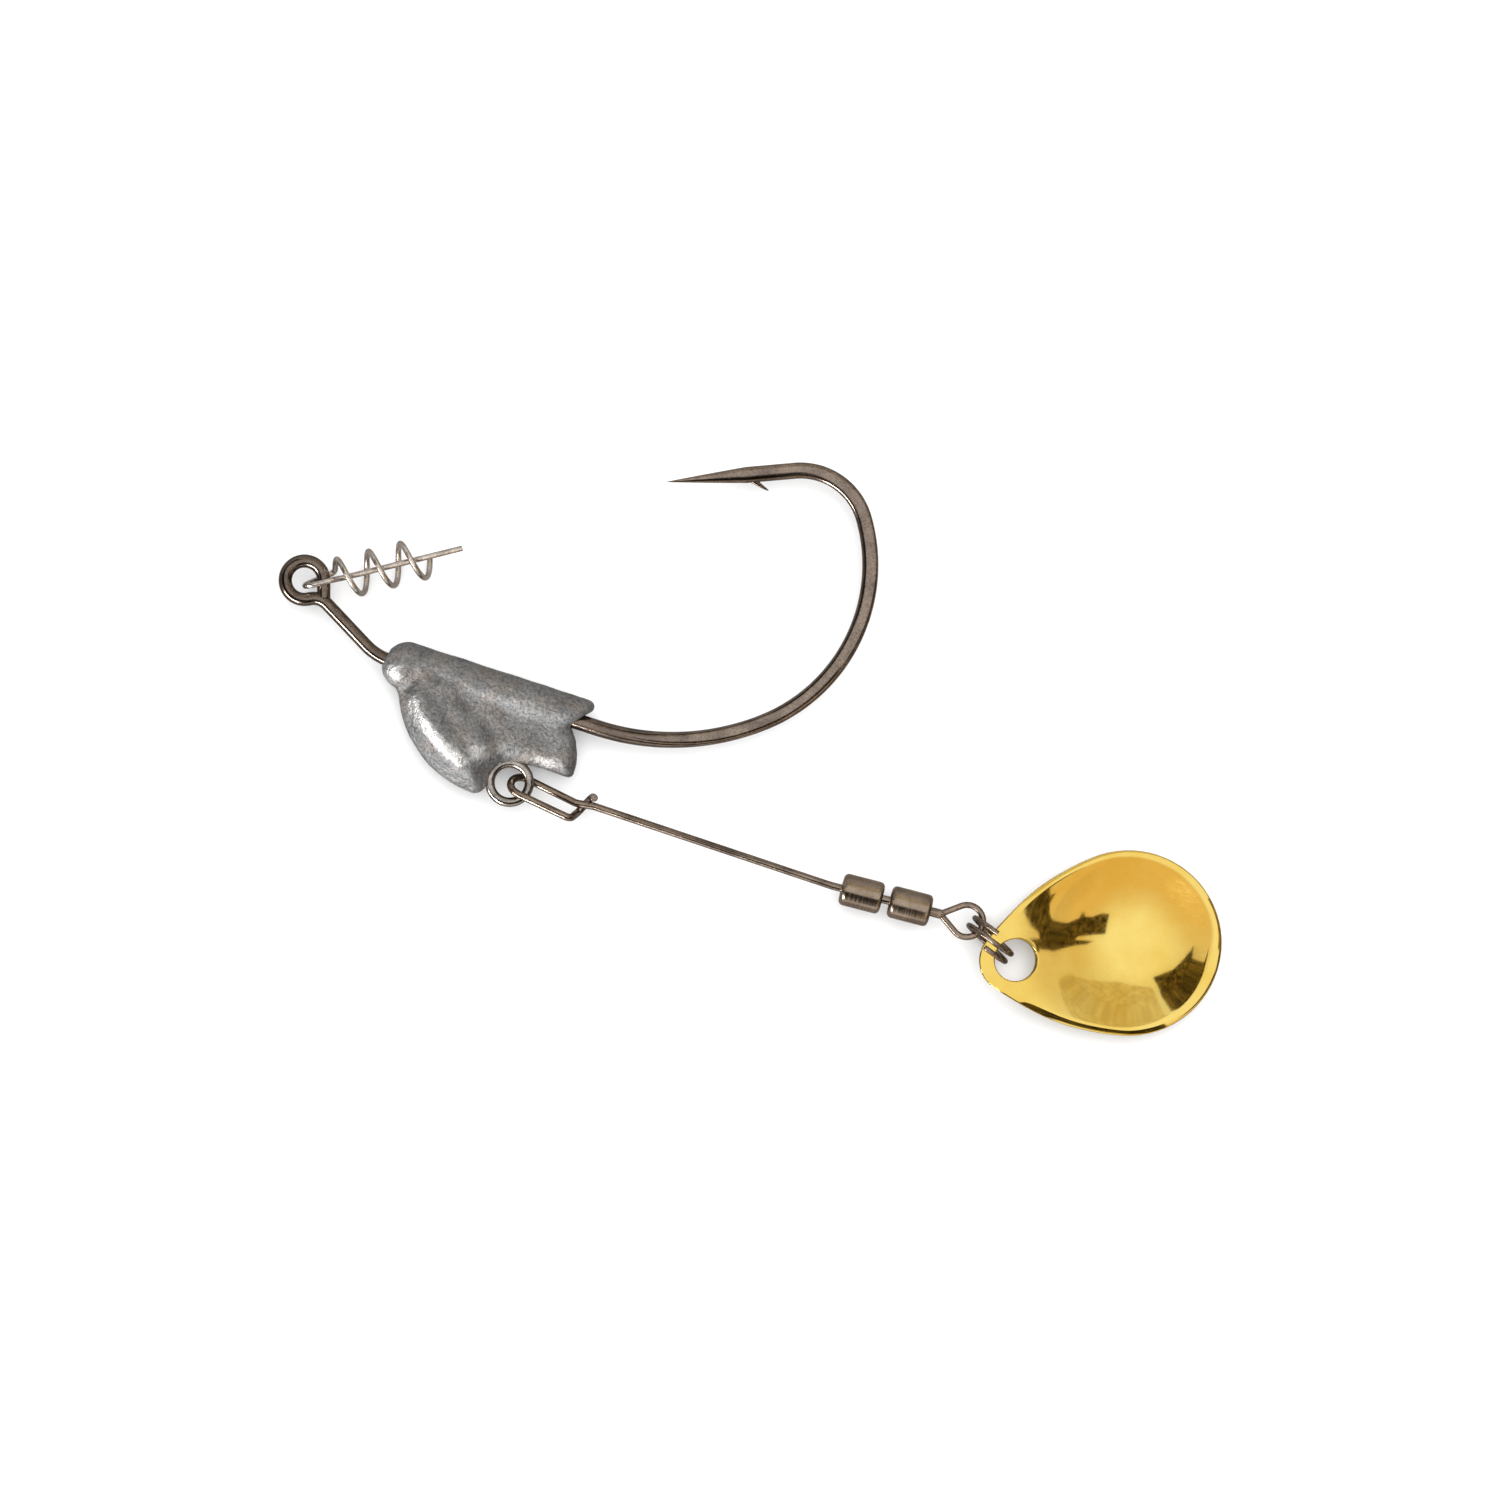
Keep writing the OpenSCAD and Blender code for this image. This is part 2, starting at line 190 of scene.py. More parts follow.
def arc_lengths(line):
    """The distance along the line to each of its points."""
    return np.r_[0, np.cumsum(np.linalg.norm(np.diff(line, axis=0), axis=1))]


def frames(line, up=None):
    """Tangent, side and up at each point: up is fixed if given, or else carried without twist."""
    tangent = np.gradient(line, axis=0)
    tangent /= np.linalg.norm(tangent, axis=1)[:, None]
    side = np.zeros_like(line)
    if up is not None:
        side = np.cross(np.array(up, float), tangent)
        side /= np.linalg.norm(side, axis=1)[:, None]
    else:
        carried = np.cross(tangent[0], [0.31, 0.22, 0.93])
        for i, t in enumerate(tangent):
            carried = unit(carried - (carried @ t) * t)
            side[i] = carried
    return tangent, side, np.cross(tangent, side)


def strips(rows, n):
    """Faces between neighbouring rows of n vertices, each row closed round."""
    return [(i * n + k, i * n + (k + 1) % n, (i + 1) * n + (k + 1) % n, (i + 1) * n + k)
            for i in range(rows - 1) for k in range(n)]


def sweep(line, sections, up=None, edge=0.08):
    """A shell swept along a line, with its cut ends rounded by edge.

    A shell is its vertices, smooth faces, own coordinates (grain) and flat faces.
    """
    tangent, side, top = frames(line, up)
    rings, grain = [], []
    at = arc_lengths(line)

    def add(i, along, scale):
        ring = sections[i] * scale
        rings.append(line[i] + along * tangent[i]
                     + ring[:, :1] * side[i] + ring[:, 1:] * top[i])
        grain.append(np.column_stack([np.full(len(ring), at[i] + along), ring]))

    size = np.abs(sections).max(axis=(1, 2))
    steps = [math.radians(a) for a in (90, 67, 45, 22)]
    for a in steps:
        add(0, -edge * math.sin(a), 1 - edge / size[0] * (1 - math.cos(a)))
    for i in range(len(line)):
        add(i, 0, 1)
    for a in reversed(steps):
        add(len(line) - 1, edge * math.sin(a), 1 - edge / size[-1] * (1 - math.cos(a)))
    n = sections.shape[1]
    count = len(rings)
    caps = [tuple(reversed(range(n))), tuple((count - 1) * n + k for k in range(n))]
    return np.vstack(rings), strips(count, n), np.vstack(grain), caps


def round_wire(line, radius, n=32, up=None, edge=0.08):
    """The shell of a round wire along a line."""
    a = np.arange(n) * 2 * math.pi / n
    circle = radius * np.stack([np.cos(a), np.sin(a)], axis=1)
    return sweep(line, np.broadcast_to(circle, (len(line), n, 2)), up, edge)


def merge(*shells):
    """Several shells as one."""
    points, faces, grain, flats = [], [], [], []
    base = 0
    for vertices, smooth, own, flat in shells:
        points.append(vertices)
        grain.append(own)
        faces += [tuple(base + k for k in face) for face in smooth]
        flats += [tuple(base + k for k in face) for face in flat]
        base += len(vertices)
    return np.vstack(points), faces, np.vstack(grain), flats


def lathe(profile, origin, axis, n=72):
    """The shell of a closed profile of (along, radius) points turned round an axis."""
    axis = unit(np.array(axis, float))
    u = unit(np.cross([0, 0, 1.0], axis))
    v = np.cross(axis, u)
    points, grain, faces = [], [], []
    for k in range(n):
        a = 2 * math.pi * k / n
        radial = math.cos(a) * u + math.sin(a) * v
        for x, r in profile:
            points.append(origin + x * axis + r * radial)
            grain.append([x, r * math.cos(a), r * math.sin(a)])
    m = len(profile)
    for k in range(n):
        k2 = (k + 1) % n
        for i in range(m):
            i2 = (i + 1) % m
            faces.append((k * m + i, k * m + i2, k2 * m + i2, k2 * m + i))
    return np.array(points), faces, np.array(grain), []


def rounded(profile, radius, n=6):
    """A closed profile with every corner rounded."""
    points = [np.array([x, y, 0.0]) for x, y in profile]
    out = []
    for i, p in enumerate(points):
        a, b = points[i - 1], points[(i + 1) % len(points)]
        room = 0.49 * min(np.linalg.norm(a - p), np.linalg.norm(b - p))
        half = math.acos(max(-1, min(1, float(unit(a - p) @ unit(b - p))))) / 2
        out += corner_arc(a, p, b, min(radius, room * math.tan(half)), n)
    return [(q[0], q[1]) for q in out]


def linked(name, data):
    """A new object in the scene."""
    made = bpy.data.objects.new(name, data)
    bpy.context.scene.collection.objects.link(made)
    return made


def make_piece(node, body, material, shell, extra=None):
    """An object that stands for a CAD node, rides on its body and hides the node."""
    points, faces, grain, flats = shell
    mesh = bpy.data.meshes.new(node + "_shell")
    mesh.from_pydata((points * MM).tolist(), [], faces + flats)
    smooth = [True] * len(faces) + [False] * len(flats)
    mesh.polygons.foreach_set("use_smooth", smooth)
    layer = mesh.attributes.new("grain", "FLOAT_VECTOR", "POINT")
    layer.data.foreach_set("vector", (grain * MM).astype(np.float32).ravel())
    for name, values in (extra or {}).items():
        layer = mesh.attributes.new(name, "FLOAT", "POINT")
        layer.data.foreach_set("value", values.astype(np.float32))
    mesh.materials.append(material)
    mesh.validate()
    piece = linked(node + "_shell", mesh)
    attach(piece, body)
    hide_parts(node)


# ---- materials

class Nodes:
    """Adds shader nodes to a material and joins them."""

    def __init__(self, name):
        self.material = bpy.data.materials.new(name)
        self.material.use_nodes = True
        self.tree = self.material.node_tree
        self.shader = self.tree.nodes["Principled BSDF"]

    def add(self, kind, inputs=None, **settings):
        """A new node with settings, and sockets or plain values on its inputs."""
        node = self.tree.nodes.new(kind)
        for key, value in settings.items():
            setattr(node, key, value)
        for key, value in (inputs or {}).items():
            if isinstance(value, bpy.types.NodeSocket):
                self.tree.links.new(value, node.inputs[key])
            else:
                node.inputs[key].default_value = value
        return node

    def place(self, scale=(1, 1, 1)):
        """The object's own coordinates, scaled."""
        where = self.add("ShaderNodeTexCoord").outputs["Object"]
        return self.add("ShaderNodeMapping", {"Vector": where, "Scale": scale}).outputs[0]

    def along(self, scale):
        """The wire's own coordinates (along, side, up), scaled."""
        where = self.add("ShaderNodeAttribute", attribute_name="grain").outputs["Vector"]
        return self.add("ShaderNodeMapping", {"Vector": where, "Scale": scale}).outputs[0]

    def noise(self, vector, scale, detail=4.0, rough=0.55, distortion=0.0):
        return self.add("ShaderNodeTexNoise", {"Vector": vector, "Scale": scale, "Detail": detail,
                                               "Roughness": rough,
                                               "Distortion": distortion}).outputs["Fac"]

    def ramp(self, value, stops):
        """A colour ramp through (position, colour) stops."""
        node = self.add("ShaderNodeValToRGB", {"Fac": value})
        elements = node.color_ramp.elements
        while len(elements) < len(stops):
            elements.new(0.5)
        for element, (position, colour) in zip(elements, stops):
            element.position = position
            element.color = (*colour, 1.0)
        return node.outputs["Color"]

    def spread(self, value, low, high, start=0.3, end=0.7):
        """value from start to end spread from low to high."""
        return self.add("ShaderNodeMapRange", {"Value": value, "From Min": start, "From Max": end,
                                               "To Min": low, "To Max": high}).outputs[0]

    def mix(self, share, a, b, blend="MIX"):
        """Colours a to b by share."""
        return self.add("ShaderNodeMix", {0: share, 6: a, 7: b}, data_type="RGBA",
                        blend_type=blend).outputs[2]

    def maths(self, operation, a, b):
        return self.add("ShaderNodeMath", {0: a, 1: b}, operation=operation).outputs[0]

    def bump(self, height, distance, strength=1.0, normal=None):
        inputs = {"Height": height, "Distance": distance, "Strength": strength}
        if normal is not None:
            inputs["Normal"] = normal
        return self.add("ShaderNodeBump", inputs).outputs[0]

    def finish(self, colour, roughness, normal, metallic=1.0):
        self.shader.inputs["Metallic"].default_value = metallic
        for key, value in (("Base Color", colour), ("Roughness", roughness), ("Normal", normal)):
            self.tree.links.new(value, self.shader.inputs[key])
        return self.material


def plated_wire(name, dark, light, rough, fade=None):
    """Drawn and plated wire: patches of tint, fine pits, and lines along the wire.

    With a fade of (start, end, share) the plate is darker before start along the wire.
    """
    n = Nodes(name)
    tint = n.noise(n.place(), 420.0, 5.0, 0.6)
    speck = n.noise(n.place(), 5200.0, 3.0, 0.7)
    lines = n.noise(n.along((260.0, 5200.0, 5200.0)), 1.0, 4.0, 0.65)
    colour = n.ramp(tint, [(0.36, dark), (0.62, light)])
    shade = n.ramp(speck, [(0.32, (0.50, 0.46, 0.44)), (0.54, (1.05, 1.05, 1.05))])
    colour = n.mix(0.9, colour, shade, "MULTIPLY")
    if fade:
        start, end, share = fade
        where = n.add("ShaderNodeSeparateXYZ", {0: n.along((1, 1, 1))}).outputs[0]
        level = n.spread(where, 1 - share, 0.0, start * MM, end * MM)
        colour = n.mix(level, colour, (*[c * 0.35 for c in dark], 1.0))
    roughness = n.spread(n.maths("ADD", n.maths("MULTIPLY", lines, 0.6),
                                 n.maths("MULTIPLY", speck, 0.4)), *rough)
    normal = n.bump(lines, 0.004 * MM)
    normal = n.bump(speck, 0.004 * MM, 0.6, normal)
    return n.finish(colour, roughness, normal)


def turned_metal(name, dark, light):
    """Plated turned metal: tint patches and faint marks round the axis."""
    n = Nodes(name)
    tint = n.noise(n.place(), 520.0, 5.0, 0.6)
    rings = n.noise(n.along((9000.0, 120.0, 120.0)), 1.0, 3.0, 0.6)
    speck = n.noise(n.place(), 6400.0, 3.0, 0.7)
    colour = n.ramp(tint, [(0.35, dark), (0.65, light)])
    shade = n.ramp(speck, [(0.28, (0.66, 0.63, 0.60)), (0.5, (1.0, 1.0, 1.0))])
    colour = n.mix(0.8, colour, shade, "MULTIPLY")
    roughness = n.spread(rings, 0.15, 0.32)
    normal = n.bump(rings, 0.0004 * MM)
    normal = n.bump(speck, 0.003 * MM, 0.5, normal)
    return n.finish(colour, roughness, normal)


def cast_lead():
    """Bare cast lead: dull and grainy, warm in patches, burnished and lighter where it is worn,
    with a painted highlight along the worn ridge and painted shade in its hollows.
    """
    n = Nodes("cast_lead")
    where = n.place()
    patches = n.noise(where, 260.0, 6.0, 0.6, 0.3)
    warm = n.noise(where, 420.0, 4.0, 0.6)
    grain = n.noise(where, 3000.0, 4.0, 0.75)
    pits = n.noise(where, 1500.0, 3.0, 0.6)
    wear_and_sheen = n.add("ShaderNodeAttribute", attribute_name="wear_and_sheen").outputs["Fac"]
    hollow = n.add("ShaderNodeAttribute", attribute_name="hollow").outputs["Fac"]
    # Painted highlight and wear: the colour goes towards pale grey along the worn ridge and spots,
    # where the ridge also catches the light
    sheen_and_wear_mask = n.spread(n.maths("ADD", n.maths("MULTIPLY", wear_and_sheen, 1.1),
                              n.maths("MULTIPLY", pits, 0.95)), 0.0, 1.0, 0.80, 1.36)
    colour = n.ramp(patches, [(0.32, (0.195, 0.195, 0.197)), (0.68, (0.33, 0.33, 0.332))])
    colour = n.mix(n.spread(warm, 0.0, 0.55, 0.48, 0.72), colour, (0.38, 0.31, 0.265, 1.0))
    shade = n.ramp(grain, [(0.34, (0.42, 0.42, 0.42)), (0.60, (1.18, 1.18, 1.18))])
    colour = n.mix(0.9, colour, shade, "MULTIPLY")
    colour = n.mix(n.maths("MULTIPLY", sheen_and_wear_mask, 0.85), colour, (0.62, 0.61, 0.60, 1.0))
    # Painted shade: the lead is darkened in its hollows, such as the valley under the sleeve
    colour = n.mix(n.maths("MULTIPLY", hollow, 0.88), colour, (0.10, 0.10, 0.10, 1.0))
    roughness = n.maths("SUBTRACT", n.spread(grain, 0.48, 0.66), n.maths("MULTIPLY", sheen_and_wear_mask, 0.20))
    normal = n.bump(pits, 0.17 * MM, 0.8)
    normal = n.bump(grain, 0.07 * MM, 0.9, normal)
    return n.finish(colour, roughness, normal, 0.85)


def gold_plate():
    """Polished gold plate on pressed brass: near mirror, faintly wavy, finely scratched."""
    n = Nodes("gold_plate")
    where = n.place()
    tint = n.noise(where, 160.0, 4.0, 0.55)
    waves = n.noise(where, 330.0, 2.0, 0.4)
    speck = n.noise(where, 7000.0, 3.0, 0.7)
    scratches = n.noise(n.place((900.0, 7000.0, 2000.0)), 1.0, 2.0, 0.6, 0.2)
    colour = n.ramp(tint, [(0.34, (0.84, 0.565, 0.11)), (0.66, (0.91, 0.685, 0.19))])
    shade = n.ramp(speck, [(0.25, (0.80, 0.76, 0.66)), (0.42, (1.0, 1.0, 1.0))])
    colour = n.mix(0.7, colour, shade, "MULTIPLY")
    roughness = n.spread(n.maths("ADD", n.maths("MULTIPLY", scratches, 0.5),
                                 n.maths("MULTIPLY", speck, 0.5)), 0.035, 0.13)
    normal = n.bump(waves, 0.012 * MM, 0.5)
    normal = n.bump(scratches, 0.0008 * MM, 0.5, normal)
    return n.finish(colour, roughness, normal)


BLACK_NICKEL = plated_wire("black_nickel_wire", (0.195, 0.154, 0.129), (0.325, 0.260, 0.210),
                           (0.10, 0.24), (38, 60, 0.55))
ARM_NICKEL = plated_wire("arm_nickel_wire", (0.210, 0.165, 0.135), (0.390, 0.310, 0.250),
                         (0.14, 0.28))
BRIGHT_WIRE = plated_wire("bright_wire", (0.58, 0.52, 0.475), (0.82, 0.75, 0.685), (0.16, 0.30))
HANGER_WIRE = plated_wire("hanger_wire", (0.30, 0.275, 0.25), (0.52, 0.475, 0.44), (0.12, 0.26))
BARREL_PLATE = turned_metal("barrel_plate", (0.250, 0.190, 0.142), (0.400, 0.310, 0.235))
LEAD = cast_lead()
GOLD = gold_plate()


# ---- hook

def smoothstep(x, low, high):
    """0 below low, 1 above high, and a smooth rise between them."""
    t = np.clip((x - low) / (high - low), 0, 1)
    return t * t * (3 - 2 * t)


def flat_sided(half_w, half_t, sharpness, n=40):
    """Sections of a wire pressed flat above and below; the three values run along the wire."""
    a = (np.arange(n) + 0.5) * 2 * math.pi / n
    # Points crowd towards the middles of the four sides
    a = a - 0.08 * np.sin(4 * a)
    cos, sin = np.cos(a), np.sin(a)
    w, t, p = (np.asarray(v, float)[:, None] for v in (half_w, half_t, sharpness))
    flat = t / np.maximum(np.abs(sin), 1e-6)[None]
    r = (w ** -p + flat ** -p) ** (-1 / p)
    return np.stack([r * cos, r * sin], axis=2)


# The bend's arcs from the shank round to the point: (radius, angle in degrees)
BEND = ((25.7, 40), (17.8, 84), (6.9, 79))

# The barb's middle line: (back from the point, in from the wire's middle)
BARB = ((8.75, 0.28), (9.05, 0.62), (9.5, 1.02), (10.0, 1.42), (10.55, 1.82))


def hook():
    collar_r = 2.0
    offset_r = 6.0
    neck_angle = 28.6
    eye_end = 18.0
    eye_tail = 1.85
    start_x = 24.0
    bend_x = 34.0
    neck = math.radians(neck_angle)
    near = math.sqrt((EYE_R + collar_r) ** 2 - collar_r ** 2)
    collar = math.degrees(math.acos(collar_r / (EYE_R + collar_r)))
    tangent = offset_r * math.tan(neck / 2)
    far = SHANK_DROP / math.sin(neck) - tangent
    offset_x = SHANK_DROP / math.tan(neck) + tangent
    wrap = 90 - eye_end + 180 - neck_angle + collar
    front = route((start_x, -SHANK_DROP), math.pi,
                  [(start_x - offset_x,), (offset_r, -neck_angle), (far - near,),
                   (collar_r, collar), (EYE_R, -wrap), (eye_tail,)])
    back = route((start_x, -SHANK_DROP), 0.0, [(bend_x - start_x,), *BEND, (POINT_L,)])
    line = even(np.vstack([front[::-1], back[1:]]), 0.14)
    at = arc_lengths(line)
    end = at[-1]
    shank = at[np.argmin(np.linalg.norm(line - [start_x, -SHANK_DROP, 0], axis=1))]
    forged = smoothstep(at, shank, shank + 9)
    flat = smoothstep(at, shank + 8, shank + 24)
    half_w = HOOK_WIRE_D / 2 + forged * (FORGED_W - HOOK_WIRE_D) / 2
    # Flats 3 mm away leave the wire round; along the bend they close to the forged thickness
    half_t = 1 / ((1 - flat) / 3.0 + flat * 2 / FORGED_T)
    sharpness = 6 - 1.4 * flat
    # The needle narrows to its tip, a little fuller than a straight cone
    left = np.clip((end - at) / NEEDLE_L, 0, 1)
    taper = 0.035 + 0.965 * left ** 0.92
    half_w = half_w * taper
    half_t = half_t * (0.08 + 0.92 * left ** 0.75)
    sharpness = sharpness - 1.6 * (1 - left)
    wire = sweep(line, flat_sided(half_w, half_t, sharpness), up=(0, 0, 1), edge=0.02)
    # The barb is a thin spike cut from the inside of the wire and lifted
    tangent_end = unit(line[-1] - line[-4])
    inward = np.cross([0, 0, 1.0], tangent_end)
    tip = line[-1]
    spine = np.array([tip - back_by * tangent_end + side * inward for back_by, side in BARB])
    spine = even(spine, 0.08)
    share = np.linspace(0, 1, len(spine))
    thin = (1 - share) ** 0.8
    a = np.arange(24) * 2 * math.pi / 24
    across = (0.04 + 0.36 * thin)[:, None]
    thick = (0.03 + 0.24 * thin)[:, None]
    sections = np.stack([across * np.cos(a), thick * np.sin(a)], axis=2)
    barb = sweep(spine, sections, up=(0, 0, 1), edge=0.01)
    make_piece("hook", "root", BLACK_NICKEL, merge(wire, barb))


# ---- belly weight

def outline_distance(x, y, outline):
    """Distance inside a closed outline, negative outside it."""
    best = np.full(x.shape, 1e9)
    inside = np.zeros(x.shape, bool)
    for (ax, ay), (bx, by) in zip(outline, np.roll(outline, -1, axis=0)):
        ex, ey = bx - ax, by - ay
        t = np.clip(((x - ax) * ex + (y - ay) * ey) / (ex * ex + ey * ey + 1e-12), 0, 1)
        best = np.minimum(best, np.hypot(x - ax - t * ex, y - ay - t * ey))
        crosses = (ay > y) != (by > y)
        with np.errstate(divide="ignore", invalid="ignore"):
            inside ^= crosses & (x < ax + (y - ay) * ex / (by - ay))
    return np.where(inside, best, -best)


def smooth_min(a, b, k):
    """The smaller of two distances, blended where they differ by less than k."""
    h = np.clip(0.5 + 0.5 * (b - a) / k, 0, 1)
    return b + (a - b) * h - k * h * (1 - h)


def smooth_max(a, b, k):
    """The larger of two distances, blended in the same way."""
    return -smooth_min(-a, -b, k)


def arc(cx, cy, r, a0, a1, n=24):
    """Points on an arc, angles in degrees."""
    a = np.radians(np.linspace(a0, a1, n + 1))
    return np.column_stack([cx + r * np.cos(a), cy + r * np.sin(a)])


# Half thickness of the keel at chosen places: (x, y, half thickness)
KEEL_HEIGHTS = [(12.8, -5.6, 2.30), (14.6, -8.2, 2.70), (16.6, -10.0, 2.98), (18.8, -11.2, 2.92),
                (20.9, -12.3, 2.70), (22.9, -13.3, 2.30), (16.6, -6.8, 2.30), (19.6, -8.6, 2.20),
                (22.3, -10.9, 2.35), (20.5, -6.9, 1.55), (23.6, -8.4, 1.38), (26.2, -9.6, 1.36),
                (24.9, -6.8, 1.15), (29.0, -7.9, 0.96), (28.6, -10.2, 1.33), (32.0, -10.0, 1.33),
                (31.6, -7.2, 0.92)]


def keel_height(x, y):
    """A smooth half thickness through KEEL_HEIGHTS."""
    total, weight = 0.0, 0.0
    for px, py, h in KEEL_HEIGHTS:
        w = 1 / (((x - px) ** 2 + (y - py) ** 2) + 0.35) ** 1.6
        total = total + w * h
        weight = weight + w
    return total / weight


def keel_outline():
    """The keel's outline seen from the side, from the nose round to the sleeve."""
    belly = arc(24.1, -4.0, 11.8, 200, 262)
    toe = arc(23.5, -14.55, 1.25, 275, 358, 10)
    notch = arc(HANGER[0], HANGER[1], 2.12, 178, 90, 14)
    web = arc(32.55, -10.5, 0.62, 270, 350, 8)
    tail = [(33.12, -9.6), (32.85, -8.5), (32.3, -7.3), (31.4, -6.0)]
    inner = [(29.0, SLEEVE_Y + 0.6), (13.6, SLEEVE_Y + 0.9)]
    return np.vstack([belly, toe, notch, [(28.6, -11.12)], web, tail, inner])


def lead_distance(x, y, z):
    """Negative inside the casting, in millimetres near its surface."""
    flat_x, flat_y = x[:, :, 0], y[:, :, 0]
    inside = outline_distance(flat_x, flat_y, keel_outline())[:, :, None]
    height = keel_height(flat_x, flat_y)[:, :, None]
    # A slope rises from the outline to a rounded ridge, and the flank lies inside it
    slope = (np.abs(z) - 0.30 - 1.18 * inside) / 1.55
    keel = smooth_max(np.abs(z) - height, slope, 0.75)
    keel = smooth_max(keel, -inside, 0.35)
    # A faint parting line stands proud round the edge
    keel = keel - 0.06 * np.exp(-(z / 0.16) ** 2) * (inside < 0.5)
    along = np.clip(x, 13.0, SLEEVE_END - 0.2)
    sleeve = np.sqrt((x - along) ** 2 + (y - SLEEVE_Y) ** 2 + z ** 2) - SLEEVE_R
    nose = np.sqrt((x - 12.75) ** 2 + (y + 5.4) ** 2 + (z * 1.04) ** 2) - 2.32
    # The sleeve ends in a slanted cut
    slant = math.radians(36)
    cut = ((x - SLEEVE_END - 0.4) * math.cos(slant)
           - (y - SLEEVE_Y - SLEEVE_R / 2) * math.sin(slant))
    sleeve = smooth_max(sleeve, cut, 1.5)
    body = smooth_min(sleeve, nose, 0.35)
    body = smooth_min(body, keel, 0.30 + 0.6 * (1 - smoothstep(x, 13, 17)))
    # Hollows where the wire comes out of both ends
    mouth = np.sqrt(((x - 32.6) / 1.9) ** 2 + ((y + SHANK_DROP - 0.25) / 1.12) ** 2
                    + (z / 1.25) ** 2) - 1
    body = smooth_max(body, -mouth, 0.18)
    dimple = np.sqrt((x - 10.2) ** 2 + (y + 4.95) ** 2 + z ** 2) - 1.0
    return smooth_max(body, -dimple, 0.15)


def surface_nets(values, origin, step):
    """Vertices and quads of the zero surface of a grid of distances."""
    corner = [(i, j, k) for i in (0, 1) for j in (0, 1) for k in (0, 1)]
    cells = np.array(values.shape) - 1

    def at(c):
        return values[c[0]:c[0] + cells[0], c[1]:c[1] + cells[1], c[2]:c[2] + cells[2]]

    total = np.zeros((*cells, 3))
    count = np.zeros(cells)
    for a in corner:
        for axis in range(3):
            if a[axis]:
                continue
            b = tuple(c + (i == axis) for i, c in enumerate(a))
            va, vb = at(a), at(b)
            crosses = (va < 0) != (vb < 0)
            t = np.where(crosses, va / np.where(crosses, va - vb, 1), 0)
            point = np.broadcast_to(np.array(a, float), (*cells, 3)).copy()
            point[..., axis] += t
            total += point * crosses[..., None]
            count += crosses
    used = count > 0
    index = np.full(cells, -1)
    index[used] = np.arange(used.sum())
    points = origin + (total[used] / count[used][:, None] + np.argwhere(used)) * step
    quads = []
    inside = values < 0
    for axis in range(3):
        u, v = (axis + 1) % 3, (axis + 2) % 3
        first = [slice(1, -1)] * 3
        second = [slice(1, -1)] * 3
        first[axis], second[axis] = slice(0, -1), slice(1, None)
        for flip in (False, True):
            here, beyond = inside[tuple(first)], inside[tuple(second)]
            cell = np.argwhere(~here & beyond if flip else here & ~beyond)
            cell[:, u] += 1
            cell[:, v] += 1
            around = []
            for du, dv in ((0, 0), (-1, 0), (-1, -1), (0, -1)):
                c = cell.copy()
                c[:, u] += du
                c[:, v] += dv
                around.append(index[c[:, 0], c[:, 1], c[:, 2]])
            quad = np.stack(around, axis=1)
            quads.append(quad[:, ::-1] if flip else quad)
    return points, np.vstack(quads)


def relax(points, quads, rounds):
    """Evens the vertices out, each towards the mean of its neighbours."""
    for _ in range(rounds):
        total = np.zeros_like(points)
        count = np.zeros(len(points))
        for i in range(4):
            a, b = quads[:, i], quads[:, (i + 1) % 4]
            np.add.at(total, a, points[b])
            np.add.at(total, b, points[a])
            np.add.at(count, a, 1)
            np.add.at(count, b, 1)
        points = points + 0.5 * (total / count[:, None] - points)
    return points


def normals_of(points, quads):
    """Unit normals at the vertices of a mesh of quads."""
    across = np.cross(points[quads[:, 2]] - points[quads[:, 0]],
                      points[quads[:, 3]] - points[quads[:, 1]])
    total = np.zeros_like(points)
    for i in range(4):
        np.add.at(total, quads[:, i], across)
    return total / np.maximum(np.linalg.norm(total, axis=1), 1e-12)[:, None]


# The casting's unevenness: (height, waves per millimetre, shift)
CAST_WAVES = ((0.055, 0.45, (0, 0, 0)), (0.022, 1.6, (7, 3, 1)), (0.009, 4.5, (1, 9, 4)))

# Handling has burnished the ridge of the belly, the nose and the edge of the web; the lighter
# colour there is partly that wear and partly a painted highlight along the lit ridge
WEAR_AND_SHEEN_RIDGE = np.array([(15.0, -8.9), (16.2, -10.2), (18.9, -11.8), (21.6, -12.9)])
WEAR_AND_SHEEN_SPOTS = ((12.0, -6.4, 1.1, 0.8), (23.0, -11.6, 1.3, 0.8), (25.4, -10.4, 1.0, 0.6),
              (30.0, -10.4, 2.0, 0.55))


